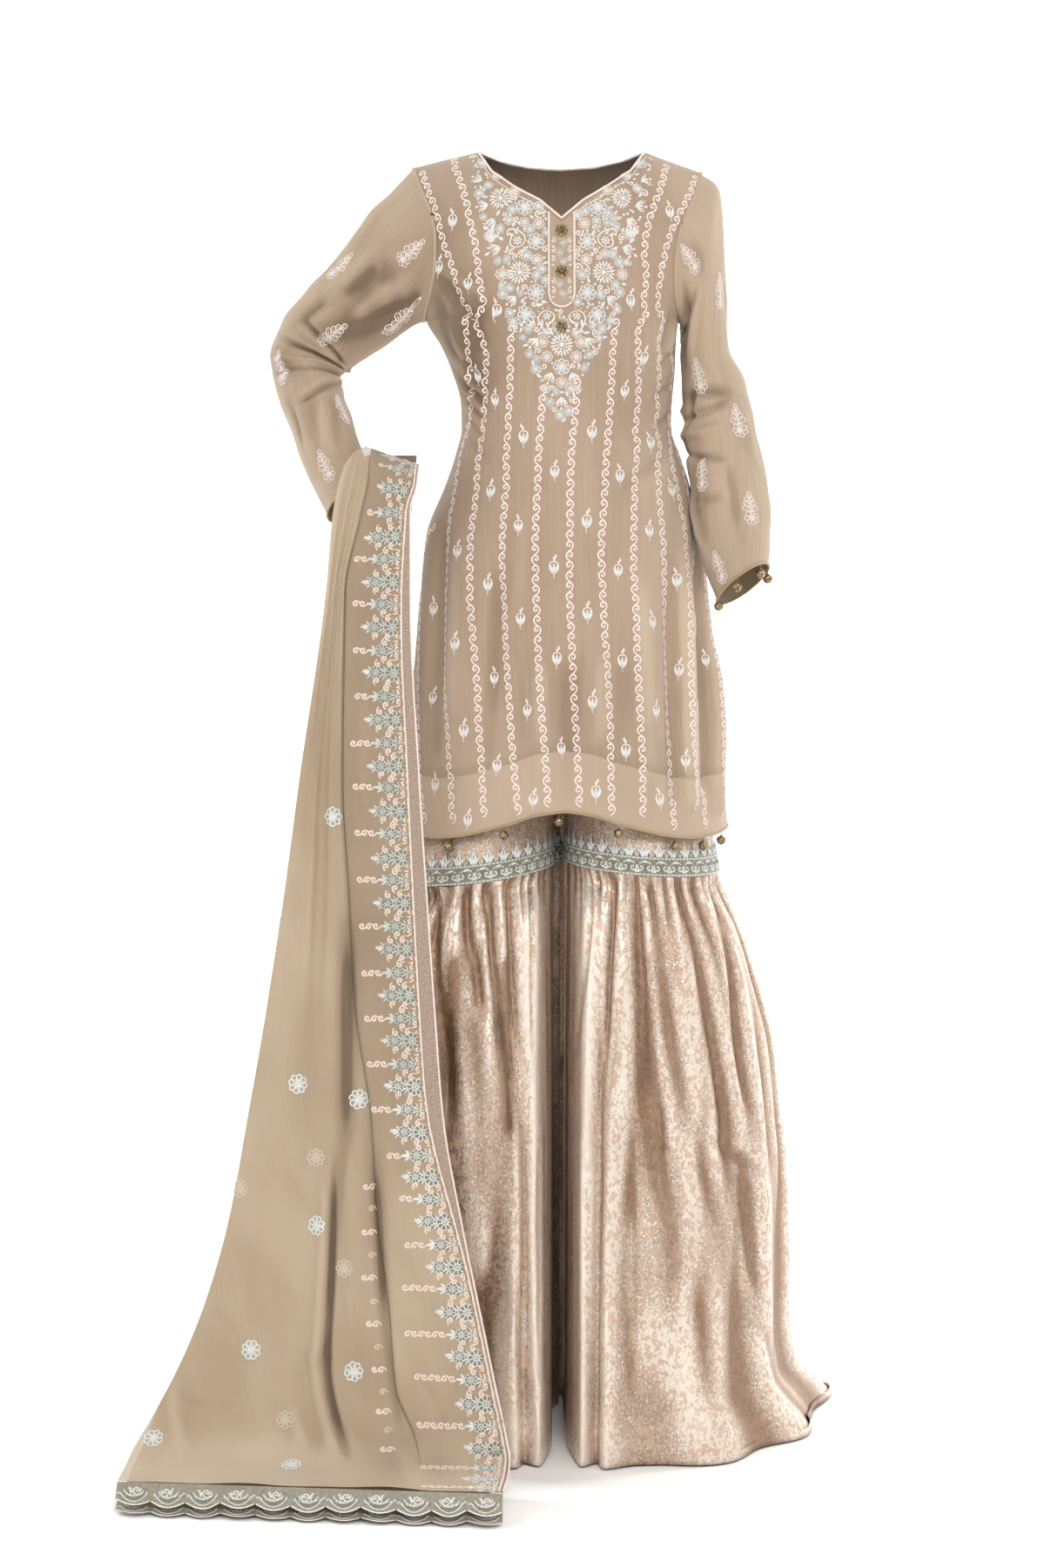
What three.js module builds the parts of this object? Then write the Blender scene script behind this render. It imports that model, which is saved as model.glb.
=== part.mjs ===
// Gharara suit: kurti, gharara and dupatta, hollow as worn, with no figure inside.
// Millimetres, +Z up, the front of the suit faces -Y, +X is the wearer's left.
// The origin is at the middle of the shoulder line, which is where the wearer holds the suit.
import * as THREE from 'three';

// ---------------------------------------------------------------- driving dimensions
const CLOTH = 1.2; // wall of chiffon and of jacquard
const SEAM = 0.3; // gap at a seam
const TRIM = 1.5; // wall of the knee bands and of the lace
const FLOOR = -1460; // where the hems rest, below the shoulder line
const SHOULDER_ROUND = 70; // drop over which the cloth rolls from the shoulder line to the chest
const BODY_SQUARE = 0.85; // below 1 the torso section is fuller than an ellipse
const SLIT_TOP = -520; // the side seams open below this level
const SLIT_OPEN = 9; // width of the side slit at the hem
const SLIT_EASE = 200; // drop over which the slit widens
const SHOULDER_SEAM = 0.25; // added to half the gap where the panels meet at the shoulder
const SLEEVE_SET = 1; // how far a sleeve stands off the armhole seam, along its own length
const SLEEVE_ASIDE = 1.2; // and straight to its own side
const PLACKET_HALF = 14; // half width of the placket strip
const PLACKET_END = -176; // lowest point of the placket
const PLACKET_UNDER_V = 9; // from the V point down to the placket's upper edge
const PLACKET_CLOTH = 0.8;
const FACING_TOP = 66; // height of the hem facing over the hem
const PIPING = 1.3; // radius of the hem and cuff cords
const NECK_PIPING = 1.2;
const CORD_INSIDE = 0.004; // a cord lies this share of the panel inside its edge
const BUTTON_RADIUS = 6.5;
const BUTTON_THICK = 2.4;
const BUTTON_LEVELS = [-92.5, -138, -197];
const BEAD_RADIUS = 5.4;
const BEAD_STALK = 5;
const STALK_RADIUS = 0.9;
const HEM_BEADS = [-128, -67, -6, 60, 124, 156, 178]; // places across the front hem
const CUFF_BEADS = [0.04, 0.2, 0.36, 0.52]; // places round the left cuff, from its inner side
const SPLIT_X = -4; // plane between the two legs
const BACK_SPLIT = 1.5; // from that plane to the inner side of each leg, at the back
const WAIST_TOP = -300;
const WAIST_SEAM = -332;
const CROTCH_START = -610; // centre seams begin to curve under
const CROTCH = -722;
const KNEE_BAND = 40; // height of the knee band
const LAYER_GAP = 8; // between the two layers of the dupatta where they hang
const LAYER_DROP = 20; // between them where they lie
const UNDER_START = 0.03; // the under layer begins this far along the fall
const UNDER_TURN = 0.915; // and turns from hanging to lying from here
const UNDER_TURN_SPAN = 0.065;
const LIES_FROM = 0.94; // the front layer lies down from here
const FOLD_WIDTH = 0.11; // half width of a vertical fold, as a share of the pleated part
const REAR_FOLDS = 2.5; // folds across the rear fall
const SCALLOPS = 11;
const SCALLOP_DEPTH = 8;
const LACE = 24; // shortest depth of the lace
const LACE_LEANS = { forward: 0.78, down: 0.6, seam: 1.3 }; // slope of the front layer's lace
const UNDER_LACE_LEANS = { forward: 0.97, down: 0.2, seam: 0.5 };
const FLARE_TUCK = { knee: 2.5, hem: 12 }; // the gathers lie this far inside the outline

const COLOURS = {
  chiffon: { color: '#cdb295', roughness: 0.8, metalness: 0 },
  jacquard: { color: '#c9a795', roughness: 0.45, metalness: 0.1 },
  trim: { color: '#b3b5a4', roughness: 0.5, metalness: 0.3 },
  scarf: { color: '#c6ab86', roughness: 0.8, metalness: 0 },
  tissue: { color: '#c9aea0', roughness: 0.4, metalness: 0.3 },
  piping: { color: '#b39a74', roughness: 0.5, metalness: 0.2 },
  metal: { color: '#8f7d5c', roughness: 0.35, metalness: 0.9 },
};

// ---------------------------------------------------------------- tables of sections
function table(columns, rows) {
  return rows.map((row) => Object.fromEntries(columns.map((name, k) => [name, row[k]])));
}

// Torso sections: half widths to the wearer's right and left, depths to the front and back.
const TORSO = table(['z', 'right', 'left', 'front', 'back'], [
  [-762, 190, 188, 152, 132],
  [-612, 173, 177, 134, 124],
  [-503, 163, 166, 119, 114],
  [-431, 156, 158, 110, 101],
  [-368, 132, 142, 101, 84],
  [-338, 122, 132, 96, 77],
  [-307, 115, 122, 93, 72],
  [-280, 116, 123, 96, 72],
  [-244, 126, 126, 107, 78],
  [-216, 138, 127, 116, 86],
  [-188, 155, 129, 116, 91],
  [-150, 165, 142, 108, 94],
  [-110, 173, 157, 97, 93],
  [-70, 178, 165, 87, 88],
  [-30, 180, 170, 76, 80],
  [2, 180, 172, 66, 72],
]);

// Hem of the kurti against the distance from its middle: high at the middle, low near the sides.
const KURTI_HEM = table(['out', 'z'], [
  [0, -727],
  [32, -732],
  [58, -741],
  [86, -749],
  [116, -757],
  [147, -761],
  [170, -760],
  [192, -755],
]);

// Armhole seam at each level: distance from the middle on each panel, wearer's right and left.
const ARMHOLE = table(['z', 'frontRight', 'frontLeft', 'backRight', 'backLeft'], [
  [-188, 155, 129, 155, 129],
  [-160, 148, 123, 152, 131],
  [-130, 142, 122, 151, 134],
  [-100, 141, 125, 153, 137],
  [-73, 145, 133, 157, 141],
  [-47, 155, 145, 162, 147],
  [-17, 167, 154, 167, 154],
]);
const UNDERARM = -188;

// Top edge of the front panel, from the right shoulder tip by way of the V to the left one.
const FRONT_TOP = table(['share', 'x', 'z'], [
  [0, -167, -17],
  [0.1, -132, -8],
  [0.2, -97, 0],
  [0.28, -80, -26],
  [0.36, -52, -46],
  [0.43, -27, -59],
  [0.5, -3, -79],
  [0.57, 21, -59],
  [0.64, 46, -44],
  [0.72, 74, -25],
  [0.8, 92, 0],
  [0.9, 122, -11],
  [1, 153, -22],
]);

// Top edge of the back panel, from the left shoulder tip to the right one.
const BACK_TOP = table(['share', 'x', 'z'], [
  [0, 153, -22],
  [0.1, 122, -11],
  [0.2, 92, 0],
  [0.28, 66, -9],
  [0.36, 33, -15],
  [0.5, -3, -17],
  [0.64, -39, -15],
  [0.72, -71, -9],
  [0.8, -97, 0],
  [0.9, -132, -8],
  [1, -167, -17],
]);
const NECK_SHARE = 0.2; // the neckline begins and ends this far from either end of them
const [RIGHT_TIP, RIGHT_NECK, V_POINT] = [FRONT_TOP[0], FRONT_TOP[2], FRONT_TOP[6]];
const [LEFT_NECK, LEFT_TIP] = [FRONT_TOP[10], FRONT_TOP[12]];

// Levels of the grid lines up a panel: to the underarm, and on up the armhole to the shoulder.
const LOW_SHARES = [0, 0.17, 0.34, 0.51, 0.68, 0.84, 1];
const ARM_SHARES = [0, 0.2, 0.4, 0.6, 0.78, 0.92, 1];
const UNDERARM_V = 0.75;

// Sleeve sections: centre, then the half vector to the outer side, the half depth to the front,
// and the rise of the front over the centre.
const SLEEVE_COLUMNS = ['at', 'x', 'y', 'z', 'outX', 'outZ', 'front', 'lift'];
const SLEEVE_RIGHT = table(SLEEVE_COLUMNS, [
  [0.08, -188, -2, -126, -18, 68, 55, 0],
  [0.2, -217, 2, -157, -34, 46, 51, 0],
  [0.32, -248, 8, -186, -41, 34, 49, 2],
  [0.44, -277, 14, -213, -42, 23, 46, 6],
  [0.55, -291, 15, -240, -41, 8, 44, 14],
  [0.66, -286, 4, -268, -38, 1, 42, 20],
  [0.78, -272, -18, -306, -36, -4, 40, 20],
  [0.89, -255, -46, -350, -32, -9, 37, 19],
  [1, -235, -70, -389, -28, -16, 33, 17],
]);
const SLEEVE_LEFT = table(SLEEVE_COLUMNS, [
  [0.08, 155, 4, -125, 22, 74, 55, 0],
  [0.2, 159, 8, -178, 26, 26, 55, 0],
  [0.33, 161, 8, -222, 28, 6, 54, 0],
  [0.46, 171, 4, -268, 37, 4, 50, 6],
  [0.58, 177, -8, -315, 41, 3, 47, 14],
  [0.7, 184, -28, -360, 43, 3, 44, 18],
  [0.8, 189, -46, -400, 43, 7, 42, 18],
  [0.9, 192, -66, -440, 39, 11, 40, 17],
  [1, 199, -84, -480, 28, 18, 38, 15],
]);

// Gharara hips, measured from the plane between the legs.
const HIPS = table(['z', 'side', 'front', 'back'], [
  [-722, 158, 112, 104],
  [-640, 156, 108, 104],
  [-560, 153, 105, 101],
  [-470, 147, 98, 92],
  [-400, 128, 89, 76],
  [-350, 110, 84, 66],
  [-300, 104, 81, 61],
]);

// Leg sections, measured from the plane between the legs. middle is where the front and back
// reach furthest, sideY and innerY are how far back the outer and inner sides lie.
const LEGS = table(['z', 'inner', 'outer', 'front', 'back', 'middle', 'sideY', 'innerY', 'square'], [
  [-1460, 8, 328, 187, 236, 104, 140, 0, 0.5],
  [-1430, 8, 305, 185, 222, 104, 110, 0, 0.5],
  [-1393, 8, 278, 182, 204, 104, 70, 0, 0.52],
  [-1322, 8, 268, 179, 184, 104, 30, 0, 0.55],
  [-1200, 8, 264, 174, 162, 104, 0, -5, 0.6],
  [-1100, 8, 256, 168, 144, 104, -12, -10, 0.65],
  [-1000, 8, 242, 160, 124, 104, -20, -16, 0.72],
  [-900, 8, 217, 150, 100, 102, -26, -22, 0.82],
  [-850, 8, 199, 141, 87, 99, -28, -26, 0.9],
  [-806, 8, 181, 130, 74, 95, -28, -28, 1],
  [-765, 6, 175, 121, 84, 90, -18, -18, 1],
  [-722, 2, 166, 112, 92, 84, -10, -10, 1],
  [-610, 1, 157, 107, 98, 79, -5, -5, 1],
]);

// Level of the seam between upper leg and flare, at the inner and outer side of each leg.
const KNEE_ROW = -806; // the row of the table at that seam
const KNEE = { left: { inner: -796, outer: -808 }, right: { inner: -800, outer: -821 } };

// Ridges of the gathered flare: place round the leg from its inner side by way of the front,
// and how far each stands out at the knee seam and at the hem.
const FLARE_RIDGES = table(['at', 'top', 'hem'], [
  [0.02, 1.5, 5],
  [0.12, 2, 9],
  [0.2, 2.5, 10],
  [0.31, 2, 8],
  [0.4, 2.5, 12],
  [0.5, 2, 9],
  [0.61, 2, 12],
  [0.7, 2.5, 9],
  [0.81, 2, 11],
  [0.91, 1.5, 7],
]);

// Front fall of the dupatta from the ridge over the arm down to the floor and forward on it.
// pleatX is where the bordered fold begins and stands proud of the pleated part behind it.
const FALL_COLUMNS = [
  'at', 'leftX', 'leftY', 'leftZ', 'pleatX', 'rightX', 'rightY', 'rightZ', 'proud', 'strip',
];
const FALL = table(FALL_COLUMNS, [
  [0, -220, -78, -328, -214, -161, -80, -348, 0, 3],
  [0.012, -230, -98, -333, -214, -161, -100, -352, 3, 3],
  [0.03, -243, -118, -352, -214, -162, -122, -368, 6, 3],
  [0.06, -254, -127, -402, -222, -169, -130, -400, 8, 5],
  [0.13, -262, -130, -486, -240, -169, -133, -488, 9, 10],
  [0.32, -293, -140, -698, -243, -159, -150, -698, 10, 13],
  [0.42, -307, -150, -806, -237, -152, -160, -806, 10, 15],
  [0.53, -327, -164, -935, -230, -143, -176, -935, 10, 17],
  [0.64, -349, -174, -1060, -212, -133, -190, -1060, 11, 18],
  [0.74, -370, -184, -1177, -204, -112, -206, -1177, 12, 19],
  [0.82, -397, -193, -1270, -192, -92, -226, -1270, 12, 19],
  [0.89, -432, -203, -1352, -184, -74, -250, -1352, 11, 19],
  [0.94, -459, -216, -1400, -164, -64, -270, -1395, 8, 19],
  [0.965, -473, -240, -1422, -158, -60, -290, -1418, 5, 19],
  [0.98, -477, -276, -1429, -156, -62, -320, -1428, 3, 19],
  [1, -480, -322, -1431, -156, -67, -366, -1431, 2, 19],
]);

// Vertical folds of the pleated part: place between the outer edge and the bordered fold, depth
// at the top and depth at the bottom.
const FALL_FOLDS = table(['at', 'top', 'bottom'], [
  [0.16, 5, 2],
  [0.42, 7, 6],
  [0.68, 6, 4],
  [0.9, 4, 8],
]);

// Rear fall, behind the arm and outside the hip and the flare.
const REAR = table(['at', 'leftX', 'rightX', 'y', 'z', 'fold'], [
  [0, -221, -163, -77.7, -338, 0],
  [0.02, -221.6, -164, -54, -339.5, 1],
  [0.045, -220.6, -166, -28, -356, 2],
  [0.1, -232, -174, -14, -430, 4],
  [0.3, -283, -190, -22, -650, 8],
  [0.42, -300, -208, -14, -780, 9],
  [0.6, -338, -246, -2, -980, 10],
  [0.8, -384, -274, 4, -1210, 11],
  [1, -430, -300, 6, -1436, 12],
]);

// ---------------------------------------------------------------- reading the tables
function slopeBetween(a, b, key, name) {
  return (b[name] - a[name]) / (b[key] - a[key]);
}

function tangentAt(rows, k, key, name) {
  if (k === 0) return slopeBetween(rows[0], rows[1], key, name);
  if (k === rows.length - 1) return slopeBetween(rows[k - 1], rows[k], key, name);
  const before = slopeBetween(rows[k - 1], rows[k], key, name);
  const after = slopeBetween(rows[k], rows[k + 1], key, name);
  if (before * after <= 0) return 0;
  return (2 * before * after) / (before + after);
}

// A row of the table at any value of its key, eased between rows with no overshoot.
function rowAt(rows, key, value) {
  const last = rows.length - 1;
  const low = Math.min(rows[0][key], rows[last][key]);
  const high = Math.max(rows[0][key], rows[last][key]);
  const at = Math.min(high, Math.max(low, value));
  let k = 0;
  while (k < last - 1 && (at - rows[k + 1][key]) * (rows[last][key] - rows[0][key]) > 0) k += 1;
  const a = rows[k];
  const b = rows[k + 1];
  const span = b[key] - a[key];
  const t = (at - a[key]) / span;
  const row = {};
  for (const name of Object.keys(a)) {
    const m0 = tangentAt(rows, k, key, name) * span;
    const m1 = tangentAt(rows, k + 1, key, name) * span;
    const rise = b[name] - a[name];
    row[name] = a[name] + t * (m0 + t * (3 * rise - 2 * m0 - m1 + t * (m0 + m1 - 2 * rise)));
  }
  row[key] = at;
  return row;
}

function clamp01(value) {
  return Math.min(1, Math.max(0, value));
}

function mix(a, b, t) {
  return a + (b - a) * t;
}

function ease(t) {
  const c = clamp01(t);
  return c * c * (3 - 2 * c);
}

function steps(count) {
  return Array.from({ length: count + 1 }, (_, k) => k / count);
}

// The values given and the same number of even steps between each pair.
function refine(values, parts) {
  const all = [];
  for (let k = 0; k < values.length - 1; k += 1) {
    for (let p = 0; p < parts; p += 1) all.push(mix(values[k], values[k + 1], p / parts));
  }
  all.push(values[values.length - 1]);
  return all;
}

// ---------------------------------------------------------------- surfaces to solids
const STEP = 0.0008;

function wrap(u) {
  return u - Math.floor(u);
}

// Unit normal of the surface point(u, v); side turns it to the cloth's outer face.
function normalAt(surface, u, v) {
  const { point, side, ring } = surface;
  const u0 = ring ? wrap(u - STEP) : Math.max(0, u - STEP);
  const u1 = ring ? wrap(u + STEP) : Math.min(1, u + STEP);
  const along = point(u1, v).sub(point(u0, v));
  const up = point(u, Math.min(1, v + STEP)).sub(point(u, Math.max(0, v - STEP)));
  return along.cross(up).normalize().multiplyScalar(side);
}

// The same surface moved out by a distance, or in where the distance is negative.
function raised(surface, distance) {
  const point = (u, v) => surface.point(u, v).addScaledVector(normalAt(surface, u, v), distance);
  return { ...surface, point };
}

function meshFrom(points, triangles) {
  const geometry = new THREE.BufferGeometry();
  const places = points.flatMap((p) => [p.x, p.y, p.z]);
  geometry.setAttribute('position', new THREE.Float32BufferAttribute(places, 3));
  geometry.setIndex(triangles.flat());
  let volume = 0;
  for (const [a, b, c] of triangles) {
    volume += points[a].dot(points[b].clone().cross(points[c]));
  }
  if (volume < 0) geometry.setIndex(triangles.flatMap(([a, b, c]) => [a, c, b]));
  return geometry;
}

// A closed wall: the outer face on the surface, the inner face one thickness behind it.
// columns and rows are the places of the grid lines; a ring leaves out the column at 1.
function wall(surface, columns, rows, thickness = CLOTH) {
  const across = surface.ring ? columns.slice(0, -1) : columns;
  const inner = raised(surface, -thickness);
  const outerPoints = rows.flatMap((v) => across.map((u) => surface.point(u, v)));
  const innerPoints = rows.flatMap((v) => across.map((u) => inner.point(u, v)));
  const width = across.length;
  const height = rows.length;
  const offset = outerPoints.length;
  const index = (i, j) => i * width + (j % width);
  const spans = surface.ring ? width : width - 1;
  const triangles = [];
  const quad = (a, b, c, d) => triangles.push([a, b, c], [a, c, d]);
  for (let i = 0; i < height - 1; i += 1) {
    for (let j = 0; j < spans; j += 1) {
      const [a, b, c, d] = [index(i, j), index(i, j + 1), index(i + 1, j + 1), index(i + 1, j)];
      quad(a, b, c, d);
      quad(d + offset, c + offset, b + offset, a + offset);
    }
  }
  for (let j = 0; j < spans; j += 1) {
    const [a, b] = [index(0, j), index(0, j + 1)];
    const [c, d] = [index(height - 1, j), index(height - 1, j + 1)];
    quad(a + offset, b + offset, b, a);
    quad(c, d, d + offset, c + offset);
  }
  if (!surface.ring) {
    for (let i = 0; i < height - 1; i += 1) {
      const [a, b] = [index(i, 0), index(i + 1, 0)];
      const [c, d] = [index(i, width - 1), index(i + 1, width - 1)];
      quad(a, b, b + offset, a + offset);
      quad(c + offset, d + offset, d, c);
    }
  }
  return meshFrom([...outerPoints, ...innerPoints], triangles);
}

// A round cord through the points, closed on itself as a loop or with flat ends.
function cord(points, radius, loop, sides = 6) {
  const count = points.length;
  const rings = points.map((p, k) => {
    const before = loop ? points[(k + count - 1) % count] : points[Math.max(0, k - 1)];
    const after = loop ? points[(k + 1) % count] : points[Math.min(count - 1, k + 1)];
    const along = after.clone().sub(before).normalize();
    const flat = Math.abs(along.z) > 0.9 ? new THREE.Vector3(0, 1, 0) : new THREE.Vector3(0, 0, 1);
    const a = flat.cross(along).normalize();
    const b = along.clone().cross(a);
    return steps(sides).slice(0, -1).map((t) => {
      const angle = 2 * Math.PI * t;
      const side = a.clone().multiplyScalar(Math.cos(angle)).addScaledVector(b, Math.sin(angle));
      return p.clone().addScaledVector(side, radius);
    });
  });
  const triangles = [];
  const spans = loop ? count : count - 1;
  for (let i = 0; i < spans; i += 1) {
    const next = (i + 1) % count;
    for (let j = 0; j < sides; j += 1) {
      const k = (j + 1) % sides;
      triangles.push([i * sides + j, i * sides + k, next * sides + k]);
      triangles.push([i * sides + j, next * sides + k, next * sides + j]);
    }
  }
  if (!loop) {
    for (let j = 1; j < sides - 1; j += 1) {
      triangles.push([0, j + 1, j]);
      triangles.push([(count - 1) * sides, (count - 1) * sides + j, (count - 1) * sides + j + 1]);
    }
  }
  return meshFrom(rings.flat(), triangles);
}

// ---------------------------------------------------------------- kurti
// Height of the shoulder line over a place across the body.
function shoulderLevel(x) {
  const edge = x < 0 ? RIGHT_NECK : LEFT_NECK;
  const tip = x < 0 ? RIGHT_TIP : LEFT_TIP;
  const span = Math.abs(tip.x) - Math.abs(edge.x);
  return mix(edge.z, tip.z, Math.max(0, (Math.abs(x) - Math.abs(edge.x)) / span));
}

// How much of its full depth the torso has below the shoulder line.
function shoulderRoll(x, z) {
  const drop = clamp01((shoulderLevel(x) - z) / SHOULDER_ROUND);
  return Math.sqrt(1 - (1 - drop) * (1 - drop));
}

function torsoX(turn, z) {
  const row = rowAt(TORSO, 'z', z);
  return Math.sin(turn) * (turn < 0 ? row.right : row.left);
}

function turnAt(x, z) {
  const row = rowAt(TORSO, 'z', z);
  return Math.asin(Math.min(1, Math.max(-1, x / (x < 0 ? row.right : row.left))));
}

// A point of the torso at a turn from the middle, -90 to 90 degrees, on its front or its back.
function torsoPoint(turn, z, face) {
  const row = rowAt(TORSO, 'z', z);
  const x = torsoX(turn, z);
  const roll = shoulderRoll(x, z);
  const depth = Math.pow(Math.max(0, Math.cos(turn)), BODY_SQUARE) * roll;
  const slit = (SLIT_OPEN / 2) * ease((SLIT_TOP - z) / SLIT_EASE);
  const seam = SEAM / 2 + slit + SHOULDER_SEAM * (1 - roll);
  const y = face === 'front' ? -seam - row.front * depth : seam + row.back * depth;
  return new THREE.Vector3(x, y, z);
}

function hemLevel(x) {
  return rowAt(KURTI_HEM, 'out', Math.abs(x)).z;
}

// The turn at which a panel ends at each level: its side seam, and above it the armhole.
function edgeTurn(z, face, arm) {
  if (z <= UNDERARM) return Math.PI / 2;
  const x = rowAt(ARMHOLE, 'z', z)[face + arm];
  return Math.abs(turnAt(arm === 'Right' ? -x : x, z));
}

// A panel from the hem (v = 0) to its top edge (v = 1); a band lies between two heights over the hem.
function kurtiPanel(face) {
  const topRows = face === 'front' ? FRONT_TOP : BACK_TOP;
  const direction = face === 'front' ? 1 : -1;
  const armOf = (side) => (side < 0 ? 'Right' : 'Left');
  const place = (u, v, height) => {
    const k = Math.min(topRows.length - 2, topRows.findLastIndex((row) => row.share <= u));
    const [a, b] = [topRows[k], topRows[k + 1]];
    const t = (u - a.share) / (b.share - a.share);
    const [topX, topZ] = [mix(a.x, b.x, t), mix(a.z, b.z, t)];
    const hemSide = direction * (2 * u - 1);
    const hemZ = hemLevel(torsoX((hemSide * Math.PI) / 2, KURTI_HEM[3].z));
    const topTurn = turnAt(topX, topZ);
    const topSide = topTurn / edgeTurn(topZ, face, armOf(topTurn));
    const low = mix(hemZ, UNDERARM, v / UNDERARM_V);
    const high = mix(UNDERARM, topZ, (v - UNDERARM_V) / (1 - UNDERARM_V));
    const z = height === undefined ? (v < UNDERARM_V ? low : high) : hemZ + height;
    const side = mix(hemSide, topSide, (z - hemZ) / (topZ - hemZ));
    return torsoPoint(side * edgeTurn(z, face, armOf(side)), z, face);
  };
  const shares = topRows.map((row) => row.share);
  return {
    point: (u, v) => place(u, v),
    band: (low, high) => (u, v) => place(u, 0, mix(low, high, v)),
    side: 1,
    ring: false,
    columns: [
      ...refine(shares.slice(0, 3), 2),
      ...shares.slice(3, -3),
      ...refine(shares.slice(-3), 2),
    ],
  };
}

const PANEL_ROWS = [
  ...LOW_SHARES.map((t) => t * UNDERARM_V),
  ...ARM_SHARES.slice(1).map((t) => mix(UNDERARM_V, 1, t)),
];
const front = kurtiPanel('front');
const back = kurtiPanel('back');
const FACING_FOOT = 2; // the facing ends this far over the hem
const hemFacing = (panel) => (
  raised({ ...panel, point: panel.band(FACING_FOOT, FACING_TOP) }, -CLOTH - 2.5 * SEAM)
);

// A place on the front panel straight behind (x, z), moved out by a distance.
function onFront(x, z, distance) {
  const point = (u, v) => {
    const [acrossX, upZ] = [mix(x - 1, x + 1, u), mix(z - 1, z + 1, v)];
    return torsoPoint(turnAt(acrossX, upZ), upZ, 'front');
  };
  const surface = { point, side: 1, ring: false };
  const normal = normalAt(surface, 0.5, 0.5);
  return { at: surface.point(0.5, 0.5).addScaledVector(normal, distance), normal };
}

// A cord along the hem of a panel, from just inside one side seam to the other.
function hemCord(panel) {
  const outer = raised(panel, PIPING + SEAM);
  const shares = steps(30).map((t) => mix(CORD_INSIDE, 1 - CORD_INSIDE, t));
  return cord(shares.map((u) => outer.point(u, CORD_INSIDE)), PIPING, false);
}

function neckPiping() {
  const lift = NECK_PIPING + 2 * SEAM;
  const onNeck = (row) => row.share > NECK_SHARE && row.share < 1 - NECK_SHARE;
  const over = (panel, rows) => {
    const inner = rows.filter(onNeck).map((row) => row.share);
    const shares = refine([NECK_SHARE, ...inner, 1 - NECK_SHARE], 2).slice(1, -1);
    return shares.map((u) => raised(panel, lift).point(u, 1 - 2 * CORD_INSIDE));
  };
  const atNeck = (row) => new THREE.Vector3(row.x, 0, row.z + lift + 1);
  const [rightSide, leftSide] = [atNeck(RIGHT_NECK), atNeck(LEFT_NECK)];
  const loop = [rightSide, ...over(front, FRONT_TOP), leftSide, ...over(back, BACK_TOP)];
  return cord(loop, NECK_PIPING, true);
}

// The placket hangs from the V with straight sides and a round lower end.
function placketSurface() {
  const straight = PLACKET_END + PLACKET_HALF;
  const point = (u, v) => {
    const across = mix(-PLACKET_HALF, PLACKET_HALF, u);
    const roundEnd = Math.sqrt(Math.max(0, PLACKET_HALF * PLACKET_HALF - across * across));
    const upper = V_POINT.z - PLACKET_UNDER_V + Math.abs(across) * 0.8;
    const z = mix(straight - roundEnd, upper, v);
    return onFront(V_POINT.x + across, z, SEAM + CLOTH).at;
  };
  return { point, side: 1, ring: false };
}

function button(z, distance) {
  const petals = 8;
  const outline = new THREE.Shape(steps(petals * 4).slice(0, -1).map((t) => {
    const angle = 2 * Math.PI * t;
    const radius = BUTTON_RADIUS * (0.9 + 0.1 * Math.cos(petals * angle));
    return new THREE.Vector2(radius * Math.cos(angle), radius * Math.sin(angle));
  }));
  const geometry = new THREE.ExtrudeGeometry(outline, { depth: BUTTON_THICK, bevelEnabled: false });
  const seat = onFront(V_POINT.x, z, distance);
  geometry.applyQuaternion(new THREE.Quaternion().setFromUnitVectors(new THREE.Vector3(0, 0, 1), seat.normal));
  geometry.translate(seat.at.x, seat.at.y, seat.at.z);
  return geometry;
}

// A place along the hem edge of the front panel, on its straight run between two grid lines.
function onHem(x) {
  const corners = front.columns.map((u) => front.point(u, 0));
  const k = corners.findIndex((corner) => corner.x > x);
  const [a, b] = [corners[k - 1], corners[k]];
  return a.clone().lerp(b, (x - a.x) / (b.x - a.x));
}

// A ball on a short stalk that ends just under the point it hangs from.
function bead(at) {
  const ball = steps(6).map((t) => {
    const angle = Math.PI * t * 0.93;
    return new THREE.Vector2(BEAD_RADIUS * Math.sin(angle), -BEAD_RADIUS * Math.cos(angle));
  });
  ball[0].x = 0;
  const stalkTop = BEAD_RADIUS + BEAD_STALK;
  const stalk = [[STALK_RADIUS, ball[5].y + 0.8], [STALK_RADIUS, stalkTop], [0, stalkTop]];
  const profile = [...ball.slice(0, -1), ...stalk.map(([x, y]) => new THREE.Vector2(x, y))];
  const geometry = new THREE.LatheGeometry(profile, 8);
  geometry.rotateX(Math.PI / 2);
  geometry.translate(at.x, at.y, at.z - stalkTop);
  return geometry;
}

// ---------------------------------------------------------------- sleeves
// Armhole seam from the underarm up the front to the shoulder tip and down the back.
function armhole(share, arm) {
  const face = share < 0.5 ? 'front' : 'back';
  const at = (share < 0.5 ? share * 2 : 2 - share * 2) * (ARM_SHARES.length - 1);
  const k = Math.min(ARM_SHARES.length - 2, Math.floor(at));
  const t = mix(ARM_SHARES[k], ARM_SHARES[k + 1], at - k);
  const z = mix(UNDERARM, (arm === 'Right' ? RIGHT_TIP : LEFT_TIP).z, t);
  const turn = edgeTurn(Math.max(z, UNDERARM + 0.01), face, arm);
  return torsoPoint(arm === 'Right' ? -turn : turn, z, face);
}

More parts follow.
